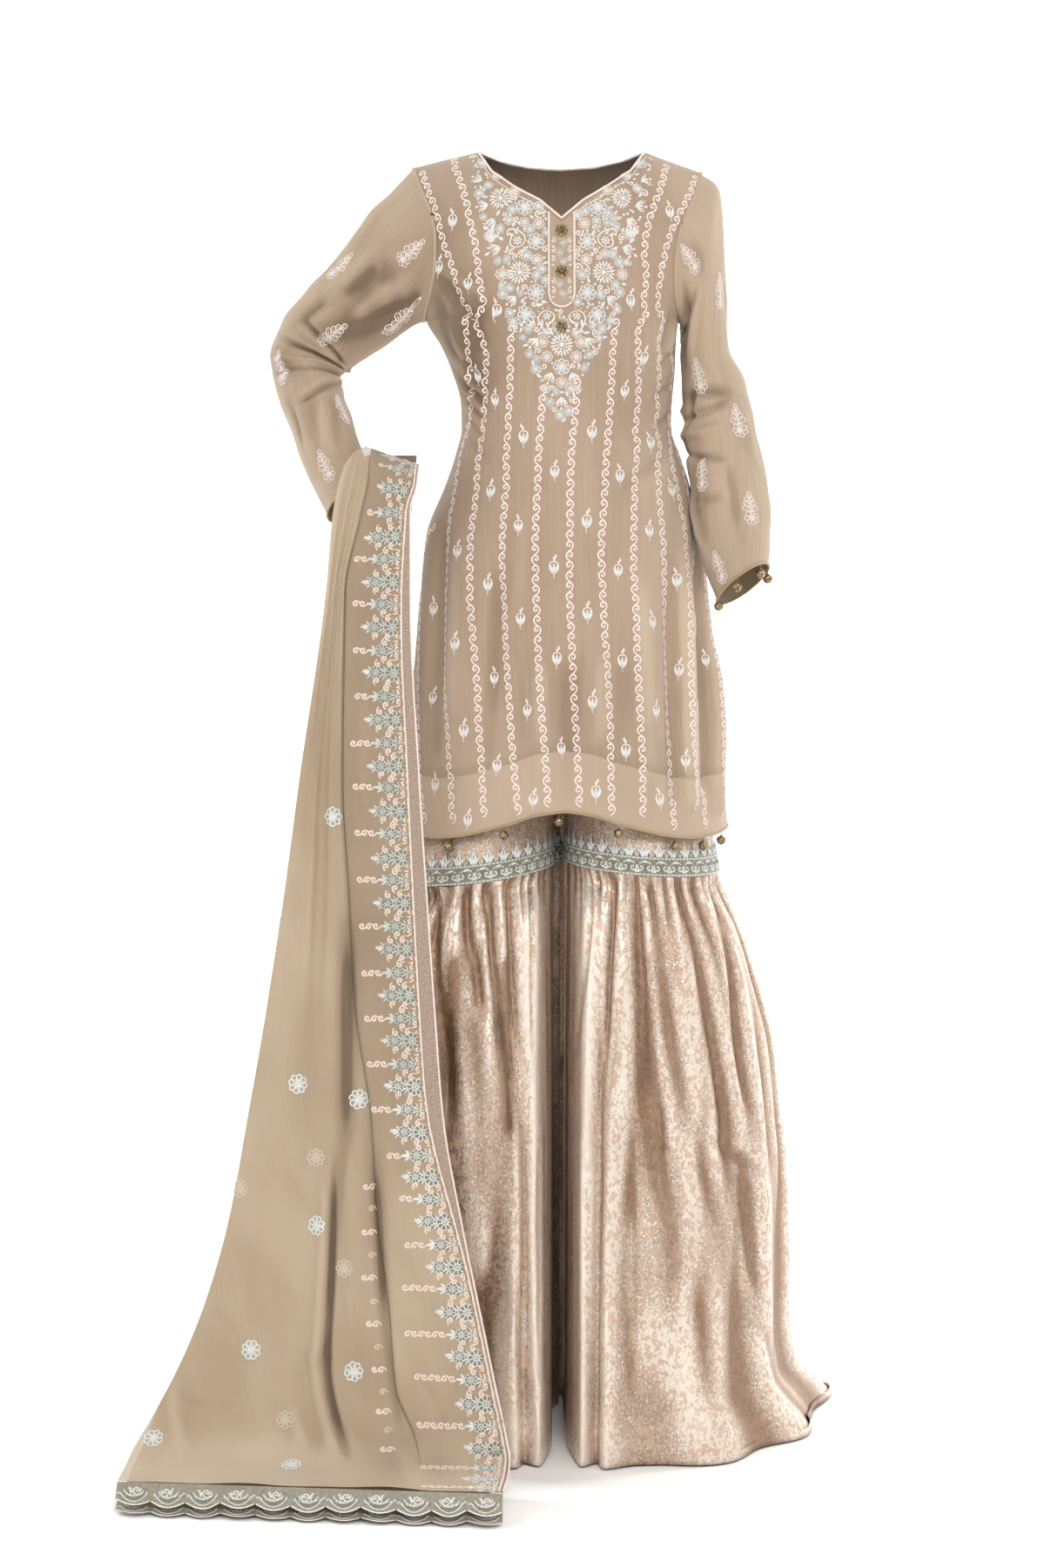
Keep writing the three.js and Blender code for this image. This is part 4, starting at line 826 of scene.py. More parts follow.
def edge_turn(z, face, side):
    """The turn at which a panel ends on the side its sign gives: side seam, then armhole."""
    row = row_at(ARMHOLE, "z", z)
    x = np.where(side < 0, -row[face + "Right"], row[face + "Left"])
    return np.where(z <= UNDERARM, math.pi / 2, np.abs(turn_at(x, z)))


def kurti_panel(face, u, v):
    """A panel from its hem (v = 0) to its top edge (v = 1)."""
    top = FRONT_TOP if face == "front" else BACK_TOP
    top_x, top_z = np.interp(u, top["share"], top["x"]), np.interp(u, top["share"], top["z"])
    hem_side = (1 if face == "front" else -1) * (2 * u - 1)
    hem_x = torso_x(hem_side * math.pi / 2, KURTI_HEM["z"][3])
    hem_z = row_at(KURTI_HEM, "out", np.abs(hem_x))["z"]
    top_turn = turn_at(top_x, top_z)
    top_side = top_turn / edge_turn(top_z, face, top_turn)
    low = mix(hem_z, UNDERARM, v / UNDERARM_V)
    high = mix(UNDERARM, top_z, (v - UNDERARM_V) / (1 - UNDERARM_V))
    z = np.where(v < UNDERARM_V, low, high)
    side = mix(hem_side, top_side, (z - hem_z) / (top_z - hem_z))
    return torso(side * edge_turn(z, face, side), z, face)


def front_at(x, z):
    return torso(turn_at(np.asarray(x, float), np.asarray(z, float)), np.asarray(z, float), "front")


# ---------------------------------------------------------------- sleeve form
ARM_SIGN = {"Right": -1, "Left": 1}
ARM_SHARES = np.array([0, 0.2, 0.4, 0.6, 0.78, 0.92, 1])  # heights of even steps up the armhole


def armhole(share, arm):
    """Armhole seam from the underarm up the front to the shoulder tip and down the back."""
    t = np.interp(np.where(share < 0.5, share * 2, 2 - share * 2) * 6, np.arange(7), ARM_SHARES)
    z = np.maximum(mix(UNDERARM, (RIGHT_TIP if arm == "Right" else LEFT_TIP)[1], t),
                   UNDERARM + 0.01)
    sign = ARM_SIGN[arm]
    ends = [torso(sign * edge_turn(z, face, sign * np.ones_like(z)), z, face)
            for face in ("front", "back")]
    return np.where((share < 0.5)[..., None], *ends)


def sleeve(rows, arm, u, v):
    """A sleeve leaves the armhole seam along a curve that runs into its first section."""
    angle = 2 * math.pi * u

    def ring(at):
        row = row_at(rows, "at", at)
        return stack(row["x"] - np.cos(angle) * row["outX"],
                     row["y"] - np.sin(angle) * row["front"],
                     row["z"] - np.cos(angle) * row["outZ"] + np.sin(angle) * row["lift"])

    first_at = rows["at"][0]
    first = ring(np.full_like(u, first_at))
    seam = armhole(u, arm)
    start = seam + unit(first - seam) * SLEEVE_SET
    start[..., 0] += ARM_SIGN[arm] * SLEEVE_ASIDE
    ahead = (ring(np.full_like(u, first_at * 1.5)) - first) * 2
    t = np.clip(v / first_at, 0, 1)[..., None]
    chord = first - start
    cap = start + chord * (t * t * (3 - 2 * t) + t * (1 - t) ** 2) + ahead * (t * t * (t - 1))
    return np.where((v >= first_at)[..., None], ring(np.broadcast_to(v, (v * u).shape)), cap)


# ---------------------------------------------------------------- gharara form
LEG_SIGN = {"right": -1, "left": 1}


def leg_section(row, share):
    """A leg section from its inner side by way of the front, outer side and back."""
    at = share * 4
    turn = (at - np.minimum(np.floor(at), 3)) * math.pi / 2
    sin, cos = np.sin(turn), np.cos(turn)
    square = row["square"]
    sin_in, cos_in = np.maximum(sin, 0) ** square, np.maximum(cos, 0) ** square
    nearest = np.minimum(row["inner"], mix(BACK_SPLIT, row["inner"], np.clip(at - 3, 0, 1) ** 4))
    middle, front, back = row["middle"], -row["front"], row["back"]
    x = np.select([at < 1, at < 2, at < 3], [
        mix(middle, row["inner"], cos_in), mix(middle, row["outer"], sin),
        mix(middle, row["outer"], cos)], mix(middle, nearest, sin_in))
    y = np.select([at < 1, at < 2, at < 3], [
        mix(row["innerY"], front, sin_in), mix(row["sideY"], front, cos),
        mix(row["sideY"], back, sin)], mix(row["innerY"], back, cos_in))
    return x, y


def knee_level(leg, share):
    inner, outer = KNEE[leg]
    return mix(inner, outer, (1 - np.cos(2 * math.pi * share)) / 2)


def leg_row(leg, share, z):
    """The section at any level, with the table's knee rows brought to the leg's own seam."""
    knee = knee_level(leg, share)
    fixed = np.where(z < knee, FLOOR, CROTCH_START)
    return row_at(LEGS, "z", mix(fixed, KNEE_ROW, (z - fixed) / (knee - fixed)))


def thigh(leg, u, v):
    z = mix(knee_level(leg, u), WAIST_SEAM - SEAM, v)
    hips = row_at(HIPS, "z", z)
    hip_x = SEAM + hips["side"] * np.sin(math.pi * u)
    hip_y = -np.cos(math.pi * u) * np.where(u < 0.5, hips["front"], hips["back"])
    leg_x, leg_y = leg_section(leg_row(leg, u, z), u)
    under = ease((CROTCH_START - z) / (CROTCH_START - CROTCH))
    x = SPLIT_X + LEG_SIGN[leg] * mix(hip_x, leg_x, under)
    return stack(x, mix(hip_y, leg_y, under) + (u - 0.5) * 2 * SEAM, z)


def flare(leg, u, v):
    """The smooth flare and, in its own millimetres, which way its gathers stand out."""
    z = mix(knee_level(leg, u) - SEAM, FLOOR + 2, v)
    row = leg_row(leg, u, z)
    x, y = leg_section(row, u)
    out_x, out_y = x - row["middle"], y - (row["back"] - row["front"]) / 2
    length = np.hypot(out_x, out_y)
    inside = ease((x - row["inner"]) / 30)
    away = stack(LEG_SIGN[leg] * out_x / length * inside, out_y / length * inside, 0 * z)
    return stack(SPLIT_X + LEG_SIGN[leg] * x, y, z), away


def gather(share, v):
    """How far the main gathers stand in or out, as the solids have them."""
    rows = FLARE_RIDGES
    at = np.append(rows["at"], rows["at"][0] + 1)
    share = np.mod(share - at[0], 1) + at[0]
    k = np.clip(np.searchsorted(at, share, side="right") - 1, 0, len(at) - 2)
    nxt = (k + 1) % len(rows["at"])
    t = (share - at[k]) / (at[k + 1] - at[k])
    top, hem = mix(rows["top"][k], rows["top"][nxt], t), mix(rows["hem"][k], rows["hem"][nxt], t)
    return mix(top, hem, v) * np.cos(2 * math.pi * t)


def waistband(u, v):
    """The band round the waist, from its back seam by way of the right side."""
    z = mix(WAIST_SEAM, WAIST_TOP, v)
    hips = row_at(HIPS, "z", z)
    angle = 2 * math.pi * u
    depth = np.where(np.cos(angle) > 0, hips["front"], hips["back"])
    return stack(SPLIT_X - hips["side"] * np.sin(angle), -np.cos(angle) * depth, z)


# ---------------------------------------------------------------- dupatta form
FOLD_WIDTH = 0.11  # of a standing fold, as a share of the pleated part
LIES_FROM = 0.94  # share of the fall below which it lies on the floor
UNDER_TURN, UNDER_TURN_SPAN = 0.915, 0.065  # the same turn of the layer below
REAR_FOLDS = 2.5


def fall(part, v, stage, lift=0.0):
    """The front fall; stage is pleated, bordered or strip and part runs across that stage."""
    row = row_at(FALL, "at", v)
    seam = row["rightX"] - row["strip"]
    start, end = {"pleated": (row["leftX"], row["pleatX"]), "bordered": (row["pleatX"], seam),
                  "strip": (seam + SEAM, row["rightX"])}[stage]
    x = mix(start, end, part)
    across = (x - row["leftX"]) / (row["rightX"] - row["leftX"])
    lying = ease((v - LIES_FROM) / 0.04)
    out = row["proud"]
    if stage == "pleated":
        stand = sum(mix(top, low, v) * np.exp(-((part - at) / FOLD_WIDTH) ** 2)
                    for at, top, low in zip(*(FALL_FOLDS[k] for k in ("at", "top", "bottom"))))
        out = stand * ease(v / 0.05)
    out = out + lift
    y = mix(row["leftY"], row["rightY"], across) - out * (1 - lying)
    z = mix(row["leftZ"], row["rightZ"], across) + np.maximum(0, out) * 0.4 * lying
    return stack(x, y, z)


def behind(surface, at):
    """The same cloth one layer further back where it hangs, and lower where it lies."""
    turn = math.pi / 2 * ease((at - UNDER_TURN) / UNDER_TURN_SPAN)
    v = (at - UNDER_START) / (1 - UNDER_START)
    gap = mix(CLOTH + 3 * SEAM, LAYER_GAP, ease(v / 0.1))
    return surface + stack(0 * turn, gap * np.cos(turn), -LAYER_DROP * np.sin(turn))


def rear(u, v):
    """The rear fall, from the shoulder to the floor, with its soft standing folds."""
    row = row_at(REAR, "at", v)
    y = row["y"] + row["fold"] * np.sin(2 * math.pi * REAR_FOLDS * u + 0.6)
    return stack(mix(row["leftX"], row["rightX"], u), y, row["z"])


# ---------------------------------------------------------------- the cloths
# Cloths laid flat, for the places of their folds.
SLEEVE_GIRTH, SLEEVE_LENGTH = 260, 520
THIGH_GIRTH, THIGH_LENGTH = 500, 480
FLARE_SPAN = 1000
FALL_LENGTH = 1290
HIDDEN = 16  # how far the pleated part of the fall runs on behind the bordered fold
FALL_ROWS = ((0, 12), (0.03, 190), (LIES_FROM, 40), (1, 0))
GATHER_SEED = {"left": 21, "right": 22}
KURTI_GAIN, SLEEVE_GAIN = 1.5, 1.3  # by how much their folds are drawn stronger
YOKE_STIFF, YOKE_REACH, YOKE_FOOT = 0.85, 75, -330  # how stiff the worked yoke is, and where
SLEEVE_SHADOW = {"Right": 0.35, "Left": 0}  # the right arm lies a little darker
EDGE_FADE = 0.06  # share of a cloth over which its folds die out towards a sewn edge
KNEE_DRAW = 0.4  # how far the gathers pull the upper leg in above its seam
FLARE_TUCK = (1.5, 11)  # how far the flare lies in behind its gathers, above and at its hem
CORNER_AT, CORNER_OUT = 0.115, 19  # the deepest gather, at the front
HEM_TURN = ((1.2, 0.2), (2.0, 9))  # how far in and up the flare's hem is turned, twice
SPLIT_SHARE = {"left": 0.945, "right": 0.972}  # where round a leg the two legs close up behind
REAR_WIDTH = 110


def kurti_cloth(face):
    top = FRONT_TOP if face == "front" else BACK_TOP
    u = steps(*[(share, 11) for share in top["share"]])[None]
    v = steps((0, 112), (UNDERARM_V, 44), (1, 0))[:, None]
    cloth = Cloth(kurti_panel(face, u, v), 1, u, v)
    x, z = cloth.points[..., 0], cloth.points[..., 2]
    edge = ease(np.minimum(u, 1 - u) / EDGE_FADE) * ease((1 - v) / EDGE_FADE)
    height = KURTI_GAIN * folds(KURTI_FOLDS[face], x, z) + swell(face, x, z)
    if face == "back":
        return cloth.lifted(height * edge)
    yoke = np.exp(-((x - V_POINT[0]) / YOKE_REACH) ** 4) * ease((z - YOKE_FOOT) / 60)
    cloth = cloth.lifted(height * edge * (1 - YOKE_STIFF * yoke))
    cloth.crest = cloth.crest + folds(KURTI_SHADES, x, z)
    return cloth


def sleeve_cloth(arm):
    rows = SLEEVE_RIGHT if arm == "Right" else SLEEVE_LEFT
    u = np.linspace(0, 1, 97)[None]
    v = steps((0, 14), (0.08, 146), (1, 0))[:, None]
    points = sleeve(rows, arm, u + 0 * v, v + 0 * u)
    points[:, -1] = points[:, 0]
    cloth = Cloth(points, -ARM_SIGN[arm], u, v, True)
    across, down = u * SLEEVE_GIRTH + 0 * v, v * SLEEVE_LENGTH + 0 * u
    height = SLEEVE_GAIN * folds_round(SLEEVE_FOLDS[arm], across, down, SLEEVE_GIRTH)
    height += tube_swell(arm, u, v)
    edge = ease(v / 0.07) * mix(1, 0.4, ease((v - 0.9) / 0.1))
    cloth = cloth.lifted(height * edge)
    cloth.crest = (cloth.crest + folds_round(SLEEVE_SHADES[arm], across, down, SLEEVE_GIRTH)
                   - SLEEVE_SHADOW[arm])
    return cloth


def thigh_cloth(leg):
    u = steps((0, 64), (0.8, 40), (1, 0))[None]
    v = np.linspace(0, 1, 61)[:, None]
    cloth = Cloth(thigh(leg, u, v), LEG_SIGN[leg], u, v)
    edge = ease(np.minimum(u, 1 - u) / EDGE_FADE) * ease(v / 0.1)
    cloth = cloth.lifted(swell(leg, u * THIGH_GIRTH, v * THIGH_LENGTH) * edge - KNEE_DRAW)
    close_split(cloth.points, leg, u, ease((0.24 - v) / 0.08))
    return cloth


def knee_cloth(leg, low, high, lift):
    """The stretch of the upper leg under the knee trim, between two heights over its seam."""
    u = np.concatenate([np.linspace(0.004, 0.92, 110), np.linspace(0.924, 0.996, 24)])[None]
    h = np.linspace(low, high, 9)[:, None]
    full = WAIST_SEAM - SEAM - knee_level(leg, u)
    cloth = Cloth(thigh(leg, u, h / full), LEG_SIGN[leg], u, h).lifted(lift)
    close_split(cloth.points, leg, u, 1.0)
    return cloth


def ridge(u, centre, wide):
    """A ridge along a tube, 1 at its centre."""
    return np.exp(-((np.mod(u - centre + 0.5, 1) - 0.5) / wide) ** 2)


def fine_gathers(leg, u, v):
    """Gathers between the main ones: crowded at the knee seam, running out at uneven lengths."""
    draw = np.random.default_rng(GATHER_SEED[leg]).uniform
    height = 0 * u + 0 * v
    for k in range(44):
        centre, drift = (k + draw(-0.34, 0.34)) / 44, draw(-0.016, 0.016)
        reach, wide, deep = draw(0.07, 0.42), draw(0.0062, 0.0092), draw(3.4, 6.8)
        fade = ease((reach - v) / (reach * 0.85))
        height = height - deep * fade * ridge(u, centre + drift * v / reach, wide * (1 + 1.5 * v))
    for k in range(58):
        centre = (k + draw(-0.3, 0.3)) / 58
        wide, deep, reach = draw(0.0036, 0.0056), draw(2.8, 5.2), draw(0.04, 0.16)
        fade = ease((reach - v) / reach)
        height = height - deep * fade * ridge(u, centre + draw(-0.03, 0.03) * v, wide)
    for k in range(34):
        centre = (k + draw(-0.4, 0.4)) / 34
        start, length = draw(0.05, 0.6), draw(0.25, 0.6)
        wide, deep = draw(0.0055, 0.0085), draw(1.6, 3.4)
        fade = ease((v - start) / 0.12) * ease((start + length - v) / 0.12)
        centre = centre + draw(-0.04, 0.04) * (v - start)
        height = height - deep * fade * ridge(u, centre, wide)
    for k in range(21):
        centre = (k + draw(-0.38, 0.38)) / 21
        start, drift = draw(0.0, 0.42), draw(-0.03, 0.03)
        wide, deep, end = draw(0.009, 0.016), draw(2.5, 6.0), draw(0.6, 1.3)
        fade = ease((v - start) / 0.25 + 0.35) * mix(1, 0.1, ease((v - end) / 0.25 + 1))
        centre = centre + drift * (v - start)
        height = height + deep * fade * ridge(u, centre, wide * (0.8 + 0.5 * v))
    return height + 0.6


def close_split(points, leg, u, weight):
    """Behind their inner edges the two legs fall together, one ply before the other."""
    from_split = (points[..., 0] - SPLIT_X) * LEG_SIGN[leg]
    closing = np.exp(-((u - SPLIT_SHARE[leg]) / 0.0125) ** 4) * weight
    points[..., 0] -= LEG_SIGN[leg] * np.maximum(from_split + 1.2, 0) * closing


def round_back(rows, span, shift):
    """The same kind of folds for the hidden half of a tube, in mirror image and moved along."""
    back = dict(rows)
    lower = np.where(rows["b0"] > 60, shift, 0)  # folds from the knee seam stay at it
    for k in "012":
        back["a" + k] = span - rows["a" + k] * 0.97 - shift
        back["b" + k] = np.minimum(rows["b" + k] * 0.94 + lower, 640)
    return {name: np.concatenate([rows[name], back[name]]) for name in rows}


def flare_cloth(leg):
    u = steps((0, 270), (0.92, 40), (1, 0))[None]
    v = steps((0, 34), (0.12, 96), (1, 0))[:, None]
    base, away = flare(leg, u, v)
    height = gather(u, v) - mix(*FLARE_TUCK, v) + fine_gathers(leg, u, v)
    across, down = u * FLARE_SPAN, v * (KNEE_ROW - FLOOR)
    rows = round_back(FLARE_FOLDS[leg], FLARE_SPAN, 14)
    height = height + folds_round(rows, across, down, FLARE_SPAN)
    height = height + tube_swell(leg, u, v)
    points = base + away * (height * ease(v * 24 + 0.35))[..., None]
    corner = np.exp(-((u - CORNER_AT) / 0.05) ** 2) * ease(v * 12)
    points[..., 1] -= CORNER_OUT * corner
    close_split(points, leg, u, 1.0)
    points[:, -1] = points[:, 0]
    outward = unit(away + 1e-9)[-1]
    hem = [points[-1] - outward * far + (0, 0, up) for far, up in HEM_TURN]
    points = np.concatenate([points, hem])
    vs = np.concatenate([v.ravel(), [1.002, 1.01]])
    cloth = Cloth(points, -LEG_SIGN[leg], u, vs, True)
    # the deepest gather by the split is given a painted highlight through its crest
    crest = crests(height, 6, 3.2, True) + 1.5 * corner
    crest = crest + folds(FLARE_SHADES[leg], across + 0 * v, down + 0 * u)
    cloth.crest = np.concatenate([crest, crest[-1:], crest[-1:]])
    return cloth


def waist_cloth():
    u, v = np.linspace(0, 1, 121)[None], np.linspace(0, 1, 13)[:, None]
    points = waistband(u, v)
    points[:, -1] = points[:, 0]
    cloth = Cloth(points, -1, u, v, True)
    return cloth.lifted(0.7 * np.abs(np.sin(math.pi * 60 * u)) * np.sin(math.pi * v) + 0 * v)


def front_layer():
    """The front fall in one length of cloth: pleated part, turn back and bordered fold."""
    v = steps(*FALL_ROWS)[:, None]
    row = row_at(FALL, "at", v)
    part = np.linspace(0, 1, 111)[None]
    wide = row["pleatX"] - row["leftX"]
    on = np.linspace(0, HIDDEN, 7)[None, 1:] / wide + 1
    pleated = fall(np.concatenate([part + 0 * v, on], axis=1), v, "pleated")
    flat = row["rightX"] - row["strip"] - row["pleatX"]
    back = np.linspace(HIDDEN, 1.2, 7)[None] / flat
    room = np.maximum(row["proud"], 0.5)
    returned = fall(back, v, "bordered", -room * np.linspace(0.75, 0.35, 7)[None])
    border = np.linspace(0, 1, 61)[None] * (1 + strip_cover(row, v) / flat)
    rounded = -0.25 * room * np.exp(-(border * flat / 2.0) ** 2)
    bordered = fall(border + 0 * v, v, "bordered", rounded)
    points = np.concatenate([pleated, returned, bordered], axis=1)
    columns = np.concatenate([part[0], 1 + np.arange(1, 14) * 0.01, 2 + np.linspace(0, 1, 61)])
    cloth = Cloth(points, -1, columns, v)
    across = points[..., 0]
    down = v * FALL_LENGTH + 0 * across
    height = (folds(DUPATTA_FOLDS, across, down) + swell("upper", across, down)) * ease(v / 0.06)
    lying = ease((v - LIES_FROM) / 0.05)
    height = np.where(columns[None] < 1, height, height * mix(0.5, 1, lying))
    cloth = cloth.lifted(np.maximum(height, -6) * mix(1, 0.5, lying))
    # painted shade darkens the bordered fold, and painted light brightens the thin end by the floor
    shade = 0.75 * (columns[None] >= 2) * ease((0.8 - v) / 0.3)
    cloth.crest = cloth.crest - shade + folds(DUPATTA_SHADES, across, down)
    cloth.crest += 0.7 * ease((v - 0.72) / 0.2) * ease((-250 - across) / 60)
    return cloth


def strip_cover(row, v):
    """How much of the edge strip the embroidered cloth covers lower down."""
    return (row["strip"] - 4.5) * ease((v - 0.6) / 0.2)


def lower_layer():
    """The layer of the front fall that hangs behind the first one."""
    at = steps((UNDER_START, 90), (0.9, 30), (1, 0))[:, None]
    part = np.linspace(0, 1, 56)[None]
    pleated = fall(part + 0 * at, at, "pleated")
    bordered = fall(part[:, 1:] + 0 * at, at, "bordered")
    points = behind(np.concatenate([pleated, bordered], axis=1), at)
    cloth = Cloth(points, -1, np.concatenate([part[0], 1 + part[0, 1:]]), at)
    x, down = points[..., 0], at * FALL_LENGTH + 0 * points[..., 0]
    return cloth.lifted(swell("lower", x, down) * ease((at - UNDER_START) / 0.1))


def strip_cloth():
    """The tissue strip along the outer edge, narrower where embroidery covers it."""
    v = steps(*FALL_ROWS)[:, None]
    row = row_at(FALL, "at", v)
    covered = strip_cover(row, v) / (row["strip"] - SEAM)
    u = np.linspace(0, 1, 7)[None]
    cloth = Cloth(fall(mix(covered, 1, u), v, "strip"), -1, u, v)
    return cloth.lifted(0.35 * np.sin(math.pi * u) + swell("strip", 0 * u, v * FALL_LENGTH))


def rear_cloth():
    u = np.linspace(0, 1, 91)[None]
    v = steps((0, 14), (0.05, 150), (1, 0))[:, None]
    cloth = Cloth(rear(u, v), 1, u, v)
    x, down = cloth.points[..., 0], v * FALL_LENGTH + 0 * u
    height = folds(REAR_CREASES, u * REAR_WIDTH + 0 * v, down) + swell("rear", x, down)
    return cloth.lifted(height * ease((v - 0.01) / 0.08))


def lace_cloth(lower, forward, down, seam):
    """Scalloped lace across the end of a layer, leaning forward and down to the floor."""
    end = {name: column[-1] for name, column in FALL.items()}
    u = np.linspace(0, 1, 133)[None]
    v = np.linspace(0, 1, 7)[:, None]
    reach = (LACE + SCALLOP_DEPTH * np.abs(np.sin(math.pi * SCALLOPS * u))) * v
    points = stack(mix(end["leftX"], end["rightX"], u) + 0 * v,
                   mix(end["leftY"], end["rightY"], u) - seam - reach * forward,
                   mix(end["leftZ"], end["rightZ"], u) - lower - reach * down)
    wave = 1.2 * np.sin(2 * math.pi * 3.3 * u + 1) * v + 0.5 * np.sin(2 * math.pi * 7.7 * u) * v
    return Cloth(points + stack(0 * v, 0 * v, np.maximum(wave, -0.6)), -1, u, v)


def placket_cloth():
    """The narrow strip that hangs from the V, straight at its sides and round at its foot."""
    across = np.linspace(-PLACKET_HALF, PLACKET_HALF, 17)[None]
    v = np.linspace(0, 1, 41)[:, None]
    round_end = np.sqrt(np.maximum(0, PLACKET_HALF ** 2 - across ** 2))
    upper = V_POINT[1] - 4 + np.abs(across) * 0.8
    z = mix(PLACKET_END + PLACKET_HALF - round_end, upper, v)
    points = front_at(V_POINT[0] + across + 0 * v, z)
    return Cloth(points, 1, across, v).lifted(SEAM + CLOTH - 0.4)


# ---------------------------------------------------------------- materials
def paint(*screen):
    """A shader colour from its 0 to 255 screen values."""
    shares = [value / 255 for value in screen]
    return (*(share / 12.92 if share <= 0.04045 else ((share + 0.055) / 1.055) ** 2.4
              for share in shares), 1.0)


class Look:
    """A procedural material: one Principled shader and the nodes that feed it."""

    def __init__(self, name, **constants):
        self.material = bpy.data.materials.new(name)
        self.material.use_nodes = True
        self.tree = self.material.node_tree
        self.tree.nodes.clear()
        self.shader = self.tree.nodes.new("ShaderNodeBsdfPrincipled")
        out = self.tree.nodes.new("ShaderNodeOutputMaterial")
        self.tree.links.new(self.shader.outputs["BSDF"], out.inputs["Surface"])
        for key, value in constants.items():
            self.shader.inputs[key.replace("_", " ")].default_value = value
        self.uv = None

    def set(self, socket, value):
        if isinstance(value, bpy.types.NodeSocket):
            self.tree.links.new(value, socket)
        else:
            socket.default_value = value

    def node(self, kind, output=0, settings=None, **inputs):
        node = self.tree.nodes.new("ShaderNode" + kind)
        for key, value in (settings or {}).items():
            setattr(node, key, value)
        for key, value in inputs.items():
            index = key[1:]
            self.set(node.inputs[int(index) if index.isdigit() else key.replace("_", " ")], value)
        return node.outputs[output]

    def cloth_place(self, across, along):
        """Places on the cloth, scaled across and along it; 1000 gives millimetres."""
        if self.uv is None:
            self.uv = self.node("UVMap", settings={"uv_map": "cloth"})
        return self.scaled(self.uv, across, along, 1)

    def solid_place(self, scale):
        return self.scaled(self.node("TexCoord", 3), scale, scale, scale)

    def scaled(self, place, *scale):
        return self.node("Mapping", Vector=place, Scale=scale)

    def noise(self, place, scale, detail=2.0, rough=0.5):
        return self.node("TexNoise", Vector=place, Scale=scale, Detail=detail, Roughness=rough)

    def math(self, operation, a, b, clamp=False):
        return self.node("Math", settings={"operation": operation, "use_clamp": clamp}, _0=a, _1=b)

    def times(self, a, b, clamp=False):
        return self.math("MULTIPLY", a, b, clamp)

    def plus(self, a, b):
        return self.math("ADD", a, b)

    def less(self, a, b):
        return self.math("SUBTRACT", a, b)

    def ramp(self, value, low, high):
        """0 at low, 1 at high and eased between them."""
        return self.node("MapRange", settings={"interpolation_type": "SMOOTHSTEP"}, Value=value,
                         From_Min=low, From_Max=high)

    def crest(self, low, high):
        """0 to 1 as the folds of the cloth pass between two heights of its crest: a mask for
        painted shade and highlight.
        """
        return self.ramp(self.node("Attribute", 2, settings={"attribute_name": "crest"}), low, high)

    def blend(self, factor, a, b):
        return self.node("Mix", 2, settings={"data_type": "RGBA"}, _0=factor, _6=a, _7=b)

    def tones(self, value, low, high, deep, pale):
        """From a deep tone to a pale one as the value passes between low and high."""
        return self.blend(self.ramp(value, low, high), paint(*deep), paint(*pale))

    def tint(self, colour, mask, amount, tone):
        """The colour, taken towards a tone by this amount where the mask is 1."""
        return self.blend(self.times(mask, amount), colour, paint(*tone))

    def bump(self, height, distance, strength):
        return self.node("Bump", Height=height, Distance=distance, Strength=strength)

    def split(self, vector, axis):
        return self.node("SeparateXYZ", axis, Vector=vector)

    def finish(self, colour, normal=None, roughness=None, alpha=None):
        self.set(self.shader.inputs["Base Color"], colour)
        for key, value in (("Normal", normal), ("Roughness", roughness), ("Alpha", alpha)):
            if value is not None:
                self.set(self.shader.inputs[key], value)
        return self.material


PER_MM = (1000, 1000)  # scale of a cloth's places that makes them millimetres
CREPE_LIGHT_AND_SHADE = ((0.0, -1.0, 0.4, (124, 100, 74)), (-0.9, -2.0, 0.72, (92, 72, 52)),
                (0.2, 1.8, 0.5, (214, 196, 172)))  # painted shade in troughs, deeper painted shade, painted highlight on crests: crest from, to, amount and tone


def chiffon(name, pale, deep, hem=0.0, alpha=None, sides=None, streaked=0.4):
    """Matt crepe: fine crossed threads, long faint streaks and slow clouds of tone.

    hem is the height of the doubled band at its foot; sides is the tone of a painted shade
    that darkens it towards the wearer's right seam, the side turned away from the key lamp.
    """
    look = Look(name, Roughness=0.86, Sheen_Weight=0.2, Sheen_Roughness=0.45)
    place = look.cloth_place(*PER_MM)
    streaks = look.noise(look.cloth_place(330, 9), 1.0, 3.0, 0.6)
    clouds = look.noise(look.cloth_place(7, 4), 1.0)
    tone = look.plus(look.times(streaks, streaked), look.times(clouds, 1.2 - streaked))
    colour = look.tones(tone, 0.4, 0.8, deep, pale)
    # painted shade in the troughs of the folds and painted highlight on their crests
    for low, high, amount, shade in CREPE_LIGHT_AND_SHADE:
        colour = look.tint(colour, look.crest(low, high), amount, shade)
    # painted shade towards the wearer's right side, away from the key lamp
    if sides:
        out = look.less(look.times(clouds, 60), look.split(place, 0))
        colour = look.tint(colour, look.ramp(out, 90, 240), 0.4, sides)
    grain = look.ramp(look.noise(place, 1.3, 2.0, 0.7), 0.62, 0.38)
    colour = look.tint(colour, grain, 0.1, (110, 88, 66))
    if hem:
        height = look.split(place, 1)
        band = look.less(1.0, look.ramp(height, hem, hem + 1.5))
        colour = look.tint(colour, band, 0.5, (192, 171, 149))
        edge = look.times(look.ramp(height, hem, hem + 0.8),
                          look.less(1.0, look.ramp(height, hem + 1.2, hem + 16)))
        colour = look.tint(colour, edge, 0.2, (110, 92, 74))
    weave = look.plus(look.node("TexWave", Vector=place, Scale=0.28, Distortion=2.5),
                      look.noise(place, 1.1, 3.0, 0.7))
    return look.finish(colour, look.bump(weave, 0.0003, 0.35), alpha=alpha)


